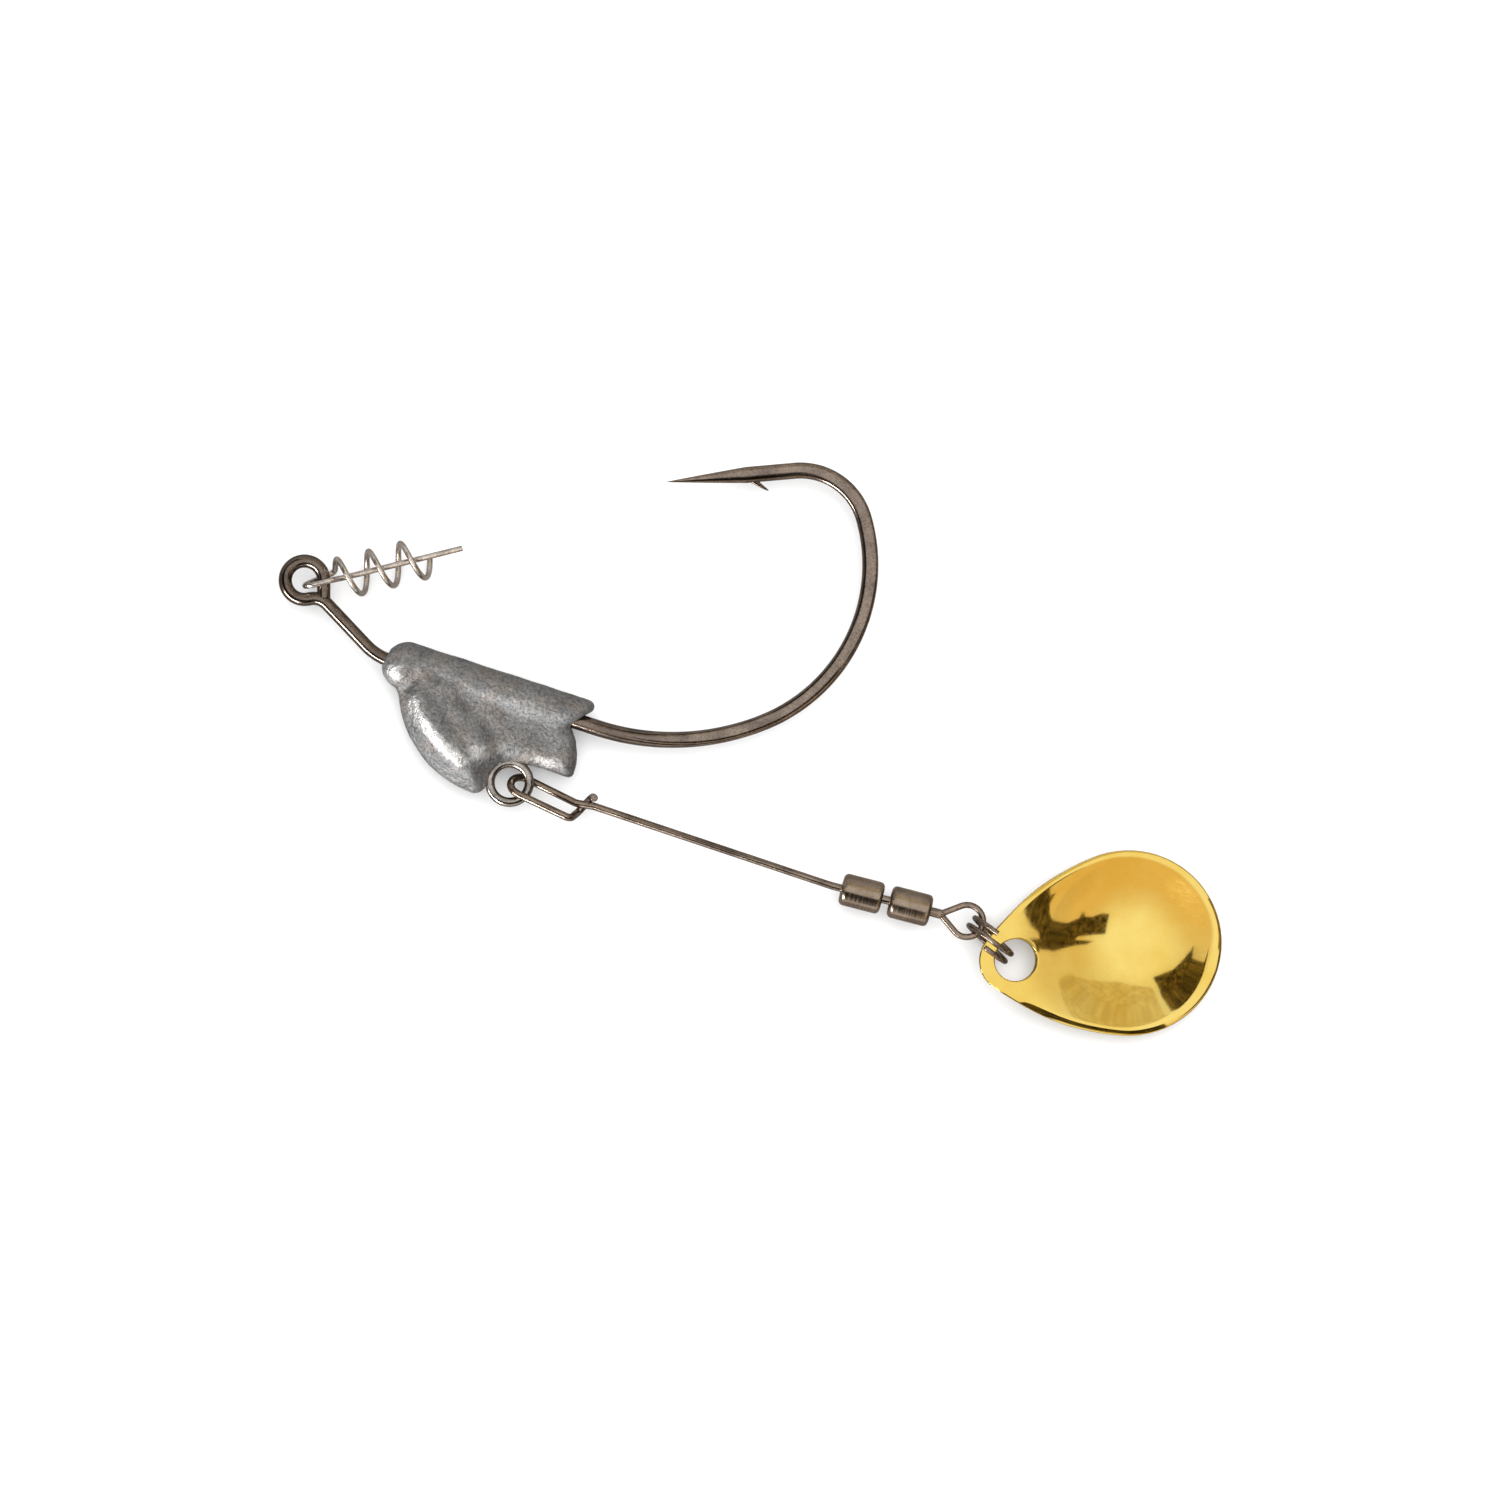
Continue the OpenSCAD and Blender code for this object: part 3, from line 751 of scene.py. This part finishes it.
def belly_weight():
    step = 0.12
    low = np.array([9.6, -16.6, -3.4])
    high = np.array([34.2, -2.2, 3.4])
    grid = [np.arange(low[k], high[k], step) for k in range(3)]
    x, y, z = np.meshgrid(*grid, indexing="ij")
    points, quads = surface_nets(lead_distance(x, y, z), low, step)
    points = relax(points, quads, 2)
    normal = normals_of(points, quads)
    # Painted shade: hollows are where the relaxed surface lies above the real one, and the
    # material darkens them
    hollow = relax(points, quads, 14) - points
    hollow = np.clip((hollow * normal).sum(axis=1) / 0.06, 0, 1)
    cast = np.array([sum(height * noise.noise(Vector(p) * waves + Vector(shift))
                         for height, waves, shift in CAST_WAVES) for p in points])
    points = points + normal * cast[:, None]
    points[:, 2] = np.clip(points[:, 2], -3.0, 3.0)
    near = np.full(len(points), 1e9)
    for a, b in zip(WEAR_AND_SHEEN_RIDGE[:-1], WEAR_AND_SHEEN_RIDGE[1:]):
        from_a = points[:, :2] - a
        t = np.clip((from_a @ (b - a)) / ((b - a) @ (b - a)), 0, 1)
        near = np.minimum(near, np.linalg.norm(from_a - t[:, None] * (b - a), axis=1))
    # Wear and painted highlight: the mask follows the ridge where it catches the light
    wear_and_sheen = np.exp(-(near / 0.8) ** 2)
    for px, py, r, level in WEAR_AND_SHEEN_SPOTS:
        spot = np.hypot((points[:, 0] - px) / r, (points[:, 1] - py) / min(r, 1.1))
        wear_and_sheen = np.maximum(wear_and_sheen, level * np.exp(-spot ** 2))
    make_piece("belly_weight", "root", LEAD,
               (points, quads.tolist(), points, []), {"wear_and_sheen": wear_and_sheen, "hollow": hollow})


# ---- hanger loop and bait keeper

def hanger_loop():
    ring_r = 2.07
    wire_r = 0.5
    stem_l = 4.5
    stem_angle = math.radians(135)
    turns = np.linspace(0, 2 * math.pi, 97)
    ring = np.column_stack([ring_r * np.cos(turns + stem_angle),
                            ring_r * np.sin(turns + stem_angle), np.zeros(len(turns))]) + HANGER
    out = np.array([math.cos(stem_angle), math.sin(stem_angle), 0])
    stem = even(np.array([HANGER + ring_r * out, HANGER + (ring_r + stem_l) * out]), 0.5)
    make_piece("hanger_loop", "root", HANGER_WIRE, merge(
        round_wire(ring, wire_r, up=(0, 0, 1), edge=0.001),
        round_wire(stem, wire_r, up=(0, 0, 1))))


def turned(points, degrees, origin=(0, 0, 0)):
    """Points turned about Z, then moved."""
    a = math.radians(degrees)
    m = np.array([[math.cos(a), -math.sin(a), 0], [math.sin(a), math.cos(a), 0], [0, 0, 1]])
    return points @ m.T + np.array(origin, float)


def bait_keeper():
    angle = 32
    offset = -0.75
    pin_end = 16.9
    coil_r = 2.08
    pitch = 3.43
    start = 2.94
    leg = (HOOK_WIRE_D + KEEPER_WIRE_D) / 2 + 0.08
    nose = -0.06
    spread = 0.35
    a = np.radians(np.arange(48, 1081, 5.0))
    coil = np.column_stack([start + pitch * a / (2 * math.pi), coil_r * np.sin(a),
                            -coil_r * np.cos(a)])
    run_in = unit(coil[0] - coil[1])
    join = coil[0] + run_in
    wire = bent([(pin_end - 0.06, 0, 0, 0), (3.9, 0, 0, 1.2), (2.9, 0, leg, 1.2),
                 (nose, 0, leg, leg - 0.02), (nose, spread, -leg, leg - 0.02),
                 (*join, 0.6), (*(coil[0] + 0.1 * run_in), 0)])
    line = even(np.vstack([wire, coil]), 0.12)
    line = turned(line + np.array([0, offset, 0]), angle)
    make_piece("bait_keeper", "keeper", BRIGHT_WIRE,
               round_wire(line, KEEPER_WIRE_D / 2, 24, edge=0.06))


# ---- arm and swivel

# Places along the swivel's axis are measured from here
SWIVEL_START = SPIN_POINT - 3.27 * SPIN_AXIS
FRONT_X = 1.07
REAR_X = FRONT_X + BARREL_L + BARREL_GAP


def clip_arm():
    arm_l = 35.5
    arm_angle = -0.5
    latch_l = 10.3
    rise = 0.45
    set_r = 6.0
    set_angle = 3.9
    leg = (1.0 + ARM_WIRE_D) / 2 + 0.07
    depth = ARM_WIRE_D + 0.08
    latch = bent([(8.95, 1.3, 0.45, 0), (8.7, 1.35, -depth, 0.5), (7.75, -0.75, -depth, 0.6),
                  (7.25, -1.55, 0.98, 0.7), (0.15, -0.7, leg - 0.02, 1.25),
                  (0.15, 1.1, -leg - 0.25, 1.25), (7.3, 0.15, -0.12, 2), (9.2, rise, 0, 1.5),
                  (latch_l, rise, 0, 0)])
    tangent = set_r * math.tan(math.radians(set_angle) / 2)
    entry = FRONT_X + WALL + PLAY
    straight = route((latch_l, rise), 0.0, [(arm_l - latch_l - tangent,), (set_r, set_angle),
                                            (entry - tangent + 0.1,)])
    line = even(turned(np.vstack([latch, straight[1:]]), arm_angle, HANGER), 0.13)
    wire = round_wire(line, ARM_WIRE_D / 2, 28, edge=0.07)
    inner = entry + HEAD_L
    profile = rounded([(entry, 0.01), (entry, HEAD_R), (inner, HEAD_R), (inner, 0.2),
                       (inner + 0.1, 0.2), (inner + 0.1, 0.01)], 0.12)
    head = lathe(profile, SWIVEL_START, SPIN_AXIS)
    make_piece("clip_arm", "arm", ARM_NICKEL, merge(wire, head))


def barrel(node, body, x, hole_front, hole_back):
    """A hollow barrel with rolled-over ends, from x along the swivel's axis."""
    r = BARREL_D / 2
    roll = 0.5
    end = x + BARREL_L
    curve = [(roll * (1 - math.cos(a)), r - roll + roll * math.sin(a))
             for a in np.radians([22, 45, 67, 90])]
    outer = [(x, hole_front), (x, r - roll)]
    outer += [(x + along, out) for along, out in curve]
    outer += [(end - along, out) for along, out in reversed(curve)]
    outer += [(end, r - roll), (end, hole_back)]
    inner = [(end - WALL, hole_back), (end - WALL, r - WALL), (x + WALL, r - WALL),
             (x + WALL, hole_front)]
    make_piece(node, body, BARREL_PLATE,
               lathe(rounded(outer + inner, 0.07, 3), SWIVEL_START, SPIN_AXIS, 96))


def swivel_link():
    front = FRONT_X + BARREL_L - WALL - PLAY - HEAD_L
    rear = REAR_X + WALL + PLAY
    neck = 0.45
    profile = [(front, 0.01), (front, HEAD_R), (front + HEAD_L, HEAD_R), (front + HEAD_L, neck),
               (rear, neck), (rear, HEAD_R), (rear + HEAD_L, HEAD_R), (rear + HEAD_L, 0.01)]
    make_piece("swivel_link", "link", ARM_NICKEL,
               lathe(rounded(profile, 0.1), SWIVEL_START, SPIN_AXIS))


def swivel_eye():
    wire_r = 0.335
    ring_r = 1.69
    fork = 35.6
    neck_r = 0.5
    eye_x = 14.68
    fork_x = eye_x - ring_r / math.sin(math.radians(fork))
    head = REAR_X + BARREL_L - WALL - PLAY - HEAD_L
    strand = ring_r / math.tan(math.radians(fork))
    loop = route((0, 0), math.radians(-fork),
                 [(strand,), (ring_r, 180 + 2 * fork), (strand,)], 0.1)
    loop = even(loop, 0.1)
    direction = math.degrees(math.atan2(SPIN_AXIS[1], SPIN_AXIS[0]))
    line = turned(loop, direction, SWIVEL_START + fork_x * SPIN_AXIS)
    neck = rounded([(head, 0.01), (head, HEAD_R), (head + HEAD_L, HEAD_R),
                    (head + HEAD_L, neck_r), (fork_x + 0.1, neck_r), (fork_x + 0.5, 0.34),
                    (fork_x + 0.62, 0.01)], 0.12)
    make_piece("swivel_eye", "eye", ARM_NICKEL, merge(
        round_wire(line, wire_r, up=(0, 0, 1)),
        lathe(neck, SWIVEL_START, SPIN_AXIS)))


def split_ring():
    coil_r = 2.66
    pitch = 1.0
    wire_r = 0.29
    a = np.radians(np.arange(180, 900.1, 4.0))
    coil = np.column_stack([pitch * a / (2 * math.pi) - 1.5 * pitch, coil_r * np.sin(a),
                            -coil_r * np.cos(a)])
    normal_angle = math.degrees(math.atan2(-RING_HINGE[1], -RING_HINGE[0]))
    line = turned(coil, normal_angle, RING_CENTRE)
    make_piece("split_ring", "ring", ARM_NICKEL,
               round_wire(line, wire_r, 24, edge=0.05))


# ---- blade

def bowl_slope(d):
    """Slope of the dish at a distance from the middle of its bowl."""
    bowl = np.minimum(d, STEEP_FROM) / np.sqrt(BOWL_R ** 2 - np.minimum(d, STEEP_FROM) ** 2)
    steep = bowl + 0.02 * smoothstep(d, STEEP_FROM - 0.6, STEEP_TO)
    lip = np.clip(1 - (d - STEEP_TO) / (DISH_END - STEEP_TO), 0, 1) ** 1.6
    return steep * lip


DISH_STEP = 0.01
DISH_D = np.arange(2001) * DISH_STEP
DISH_Z = np.r_[0, np.cumsum((bowl_slope(DISH_D[1:]) + bowl_slope(DISH_D[:-1])) / 2 * DISH_STEP)]


def bowl_height(d):
    """Height of the dish above the middle of its bowl."""
    return np.interp(d, DISH_D, DISH_Z)


def blade():
    belly_r = BLADE_W / 2
    belly_x = BLADE_L - belly_r
    end_r = 3.3
    side_r = 27.0
    hole_x = 3.82
    hole_r = 2.2
    round_r = 0.16

    def side_centre():
        """Centre of the side's arc, which touches the arcs of the tip and the belly."""
        d = belly_x - end_r
        x = ((side_r - end_r) ** 2 - (side_r - belly_r) ** 2 + d * d) / (2 * d)
        return end_r + x, -math.sqrt((side_r - end_r) ** 2 - x * x)

    def edge():
        """The outline, counter-clockwise from the far end."""
        cx, cy = side_centre()
        a1 = math.degrees(math.atan2(-cy, end_r - cx))
        a2 = math.degrees(math.atan2(-cy, belly_x - cx))
        half = np.vstack([arc(belly_x, 0, belly_r, 0, a2, 70),
                          arc(cx, cy, side_r, a2, a1, 70)[1:],
                          arc(end_r, 0, end_r, a1, 180, 40)[1:]])
        return np.vstack([half, half[-2:0:-1] * [1, -1]])

    rim = edge()
    n = len(rim)
    # Rays from the hole's rim to the outline
    hole_a = np.arctan2(rim[:, 1], rim[:, 0] - hole_x)
    hole = np.column_stack([hole_x + hole_r * np.cos(hole_a), hole_r * np.sin(hole_a)])
    span = np.linalg.norm(rim - hole, axis=1)
    # The rolled rim is wider along the low side of the main view, and fades out at the tip
    roll_w = ROLL_W[0] + (ROLL_W[1] - ROLL_W[0]) * smoothstep(-rim[:, 1], -1.0, 4.0)
    roll_angle = ROLL_ANGLE * smoothstep(rim[:, 0], 2.0, 8.0) + 0.02

    def sheet(t):
        """Middle surface at share t from the hole to the outline, with the rim rolled over."""
        at = hole + t[:, None] * (rim - hole)
        z = bowl_height(np.hypot(at[:, 0] - belly_x, at[:, 1]))
        left = np.clip(1 - (1 - t) * span / roll_w, 0, 1)
        return np.column_stack([at, z - roll_w / roll_angle * (1 - np.cos(left * roll_angle))])

    def facing(t):
        """Unit normals of the middle surface."""
        along = sheet(np.minimum(t + 1e-3, 1)) - sheet(np.minimum(t + 1e-3, 1) - 2e-3)
        at = sheet(t)
        across = np.roll(at, -1, axis=0) - np.roll(at, 1, axis=0)
        up = np.cross(along, across)
        return up / np.linalg.norm(up, axis=1)[:, None]

    half_t = BLADE_T / 2
    inset = round_r / span
    share = np.r_[np.linspace(0, 0.86, 44), np.linspace(0.865, 1, 28)]
    turn = np.radians(np.linspace(90, -90, 13))[1:-1]
    rings = []

    def ring(t, height):
        """Adds a ring of points at share t, at a height above the middle surface."""
        rings.append(sheet(t) + facing(t) * height)

    def edge_height(a):
        """Height at angle a round the rounded edge of the sheet."""
        if abs(math.sin(a)) < 1e-9:
            return 0
        return math.copysign(half_t - round_r, math.sin(a)) + round_r * math.sin(a)

    # Over the top, round the outline, back underneath, and round the hole
    for t in share:
        ring(inset + (1 - 2 * inset) * t, half_t)
    for a in turn:
        ring(1 - inset + inset * math.cos(a), edge_height(a))
    for t in share[::-1]:
        ring(inset + (1 - 2 * inset) * t, -half_t)
    for a in turn[::-1]:
        ring(inset - inset * math.cos(a), edge_height(a))
    points = np.vstack(rings)
    m = len(rings)
    faces = []
    for i in range(m):
        here = i * n
        beyond = ((i + 1) % m) * n
        for k in range(n):
            k2 = (k + 1) % n
            faces.append((here + k, beyond + k, beyond + k2, here + k2))
    low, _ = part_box("blade")
    tip = (*BLADE_TIP, low.z / MM + half_t)
    make_piece("blade", "blade", GOLD,
               (turned(points, BLADE_ANGLE, tip), faces, points, []))


# ---- studio

# The main view looks straight down at AIM and is VIEW_W wide there, in metres
VIEW_TURN = math.radians(18)
AIM = Vector((0.050, -0.0025, 0.0))
LENS = 100
SENSOR = 36
VIEW_W = 0.1575
CAMERA_AT = AIM + Vector((0, 0, VIEW_W * LENS / SENSOR))

# The middle of the blade's bowl, in millimetres right of and above the aim in the main view
BOWL_IN_VIEW = (39.8, -20.2)

# Heights of the cards, in metres
WIRE_CARD_H = 0.012
RIM_CARD_H = 0.008
BOWL_CARD_H = 0.45
SHELF_CARD_H = 0.47

BLACK = (0.010, 0.009, 0.008)
OLIVE = (0.26, 0.19, 0.075)


def across_view(right, up):
    """A move to the right and up in the main view."""
    c, s = math.cos(VIEW_TURN), math.sin(VIEW_TURN)
    return Vector((right * c - up * s, right * s + up * c, 0))


def in_view(right, up, height):
    """A place right of and above the aim in the main view, in metres."""
    return AIM + across_view(right, up) + Vector((0, 0, height))


def only_reflected(piece):
    """Stages a surface that shows in reflections alone."""
    piece.visible_camera = False
    piece.visible_diffuse = False
    piece.visible_shadow = False
    piece.visible_transmission = False
    piece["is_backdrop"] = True


def plain_material(name, colour, patches=None, scale=1.0):
    """Matt paint, with lighter patches if given."""
    n = Nodes(name)
    n.shader.inputs["Base Color"].default_value = (*colour, 1.0)
    n.shader.inputs["Roughness"].default_value = 0.9
    n.shader.inputs["Specular IOR Level"].default_value = 0.0
    if patches:
        blotch = n.noise(n.place(), scale, 6.0, 0.75)
        mixed = n.ramp(blotch, [(0.44, colour), (0.66, patches)])
        n.tree.links.new(mixed, n.shader.inputs["Base Color"])
    return n.material


def card(name, corners, colour, patches=None, scale=1.0):
    """A flat card that only reflections see, with its corners in metres."""
    mesh = bpy.data.meshes.new(name)
    mesh.from_pydata([tuple(c) for c in corners], [], [tuple(range(len(corners)))])
    mesh.materials.append(plain_material(name, colour, patches, scale))
    only_reflected(linked(name, mesh))


def beside_bowl(spots):
    """Corners of a card low over the floor, at millimetres from the middle of the bowl."""
    return [in_view((BOWL_IN_VIEW[0] + right) * MM, (BOWL_IN_VIEW[1] + up) * MM, RIM_CARD_H)
            for right, up in spots]


def seen_in_bowl(spots, height):
    """Corners at a height that the camera sees at spots in the blade's bowl.

    Spots are millimetres right of and above the middle of the bowl in the main view.
    """
    outer_from = 8.0
    outer_push = 1.18
    low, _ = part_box("blade")
    a = math.radians(BLADE_ANGLE)
    reach = (BLADE_L - BLADE_W / 2) * MM
    middle = Vector((BLADE_TIP[0] * MM + reach * math.cos(a),
                     BLADE_TIP[1] * MM + reach * math.sin(a), low.z + BLADE_T * MM))
    corners = []
    for right, up in spots:
        flat = across_view(right * MM, up * MM)
        d = flat.length / MM
        point = middle + flat + Vector((0, 0, float(bowl_height(d)) * MM))
        # Outer corners are pushed well beyond what the steepest ring shows
        push = outer_push if d > outer_from else 1
        slope = float(bowl_slope(min(d, STEEP_TO))) * push
        normal = (Vector((0, 0, 1)) - flat.normalized() * slope).normalized()
        ray = (point - CAMERA_AT).normalized()
        bounced = ray - 2 * ray.dot(normal) * normal
        corners.append(point + bounced * ((height - point.z) / bounced.z))
    return corners


def surround(direction):
    """Brightness of the tent seen along directions (right, up in the main view, and height)."""
    right, up, z = direction.T
    flat = np.maximum(np.hypot(right, up), 1e-9)
    tilt = np.degrees(np.arctan2(flat, z))
    up, right = up / flat, right / flat
    level = 1.06 - 0.20 * smoothstep(tilt, 18, 50)
    # Near the floor it is dark, but for a glow at the top of the view and a strip at the bottom
    horizon = 0.10 + 0.50 * np.clip(up, 0, 1) ** 2 + 0.10 * np.clip(-right, 0, 1)
    low = smoothstep(tilt, 60, 72)
    level = level * (1 - low) + horizon * low
    level = level + 0.9 * smoothstep(-up, 0.75, 0.95) * smoothstep(tilt, 68, 74)
    # Half way down it is warmer towards the bottom of the view
    warm = smoothstep(tilt, 22, 56) * np.clip(0.55 - 0.75 * up, 0, 1)
    warm = warm * (1 - smoothstep(tilt, 62, 70))
    tint = 1 - warm[:, None] * np.array([0.0, 0.24, 0.55])
    return level[:, None] * tint


def tent():
    """A dome round the object that only reflections see."""
    rings = 60
    sides = 120
    radius = 2.0
    tilt = np.radians(np.linspace(0.5, 91, rings))
    turn = np.arange(sides) * 2 * math.pi / sides
    t, f = np.meshgrid(tilt, turn, indexing="ij")
    direction = np.column_stack([(np.sin(t) * np.cos(f)).ravel(),
                                 (np.sin(t) * np.sin(f)).ravel(), np.cos(t).ravel()])
    points = [AIM + across_view(d[0], d[1]) * radius + Vector((0, 0, d[2] * radius))
              for d in direction]
    mesh = bpy.data.meshes.new("tent")
    mesh.from_pydata([tuple(p) for p in points], [],
                     strips(rings, sides) + [tuple(range(sides))])
    layer = mesh.attributes.new("glow", "FLOAT_VECTOR", "POINT")
    layer.data.foreach_set("vector", surround(direction).astype(np.float32).ravel())
    n = Nodes("tent_glow")
    glow = n.add("ShaderNodeAttribute", attribute_name="glow").outputs["Vector"]
    light = n.add("ShaderNodeEmission", {"Color": glow})
    n.tree.links.new(light.outputs[0], n.tree.nodes["Material Output"].inputs["Surface"])
    # The tent is found by reflections alone and isn't sampled as a lamp
    n.material.cycles.emission_sampling = "NONE"
    mesh.materials.append(n.material)
    only_reflected(linked("tent", mesh))


def softbox(name, centre, size, power, in_gloss):
    """A rectangular light aimed at AIM, for reflections if in_gloss, or else for the rest."""
    light = bpy.data.lights.new(name, "AREA")
    light.shape = "RECTANGLE"
    light.size, light.size_y = size
    light.energy = power
    lamp = linked(name, light)
    lamp.location = centre
    lamp.rotation_mode = "QUATERNION"
    lamp.rotation_quaternion = (AIM - centre).to_track_quat("-Z", "Y")
    lamp.visible_camera = False
    lamp.visible_glossy = in_gloss
    lamp.visible_diffuse = not in_gloss


def square(name, half, height, material):
    """A level square at a height."""
    mesh = bpy.data.meshes.new(name)
    mesh.from_pydata([(-half, -half, 0), (half, -half, 0), (half, half, 0), (-half, half, 0)], [],
                     [(0, 1, 2, 3)])
    mesh.materials.append(material)
    flat = linked(name, mesh)
    flat.location.z = height
    return flat


def studio():
    scene = bpy.context.scene
    low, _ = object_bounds()
    pale = plain_material("pale_floor", (0.9, 0.9, 0.9))
    square("floor", 6.0, low.z - 0.00012, pale)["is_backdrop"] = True
    grey = plain_material("dark_floor", (0.26, 0.245, 0.23))
    only_reflected(square("dark_floor", 1.9, low.z - 0.00004, grey))

    world = bpy.data.worlds.new("studio")
    scene.world = world
    world.use_nodes = True
    background = world.node_tree.nodes["Background"]
    background.inputs["Color"].default_value = (1.0, 1.0, 1.0, 1.0)
    background.inputs["Strength"].default_value = 1.0
    scene.view_settings.view_transform = "Standard"

    tent()
    softbox("top_box", in_view(0.10, 0.25, 0.95), (0.9, 0.9), 8.0, False)
    softbox("key_strip", in_view(-0.45, -0.43, 0.30), (0.50, 0.09), 6.5, True)

    # Black cards low along the wires: corners in millimetres from the aim in the main view
    bands = {
        "wire_card": [(-60, 27), (-50.8, 18.0), (-48.0, 12.8), (-39.8, 4.4), (-38.6, -4.0),
                      (-33.0, -7.4), (-25.0, -6.4), (8.6, -16.6), (19.5, -19.8), (10.0, -51.0),
                      (-3.0, -47.0), (3.0, -28.5), (-27.0, -18.4), (-39.0, -19.5), (-50.0, -8.0),
                      (-59.0, 6.0), (-70.0, 24.0)],
        "bend_card": [(-15, -0.8), (-8, -2.0), (0, -1.6), (6.5, 1.5), (12, 7.5), (16, 4),
                      (8, -4), (0, -8), (-10, -5.2)],
        "point_card": [(-12, 27), (6, 28.5), (8, 16), (-12, 14)]}
    for name, corners in bands.items():
        card(name, [in_view(x * MM, y * MM, WIRE_CARD_H) for x, y in corners], BLACK)

    # Cards that the blade's rim and bowl reflect
    card("rim_card", beside_bowl(
        [(-13.0, -6.4), (-9.5, -8.0), (-4.0, -10.7), (1.0, -11.0), (5.0, -9.9), (10.0, -20.0),
         (-6.0, -24.0), (-20.0, -17.0)]), BLACK, (0.16, 0.12, 0.05), 260.0)
    card("shelf_card", seen_in_bowl(
        [(-8.2, -2.6), (-5.0, -3.9), (-1.0, -4.3), (2.6, -4.9), (4.0, -8.4), (0.0, -9.2),
         (-5.0, -8.2), (-9.0, -4.0)], SHELF_CARD_H),
         (0.50, 0.44, 0.33), (0.72, 0.66, 0.54), 20.0)
    card("stand_card", seen_in_bowl(
        [(-2.4, 0.86), (-2.0, 3.0), (-2.8, 3.1), (-3.9, 2.7), (-4.6, 2.75), (-4.9, 3.3),
         (-5.3, 2.6), (-6.4, 2.15), (-8.6, 1.9), (-8.9, -2.0), (-8.2, -1.9), (-7.1, -0.65),
         (-6.1, -0.4), (-4.4, -0.2), (-3.7, 0.1), (-5.8, 0.3), (-5.4, 0.65),
         (-3.85, 0.78)], BOWL_CARD_H), BLACK, OLIVE, 34.0)
    card("lamp_card", seen_in_bowl(
        [(2.67, -3.8), (4.9, -2.9), (6.1, -1.6), (6.95, -0.3), (6.8, -1.7), (7.9, -2.9),
         (8.0, -4.9), (6.2, -6.6), (4.6, -6.9), (3.6, -6.0), (3.25, -4.9)], BOWL_CARD_H),
         BLACK, OLIVE, 34.0)
    card("side_card", beside_bowl(
        [(10.8, -1.9), (11.0, 0.8), (10.6, 3.0), (9.9, 4.8), (20.0, 10.0), (22.0, -5.0)]),
         (0.10, 0.07, 0.03), (0.34, 0.24, 0.10), 200.0)

    camera = bpy.data.cameras.new("camera")
    camera.lens = LENS
    camera.sensor_width = SENSOR
    camera.clip_start = 0.01
    eye = linked("camera", camera)
    eye.location = CAMERA_AT
    eye.rotation_euler = (0, 0, VIEW_TURN)
    scene.camera = eye


hook()
belly_weight()
hanger_loop()
bait_keeper()
clip_arm()
barrel("front_barrel", "front_barrel", FRONT_X, 0.45, 0.5)
swivel_link()
barrel("rear_barrel", "rear_barrel", REAR_X, 0.5, 0.55)
swivel_eye()
split_ring()
blade()
studio()
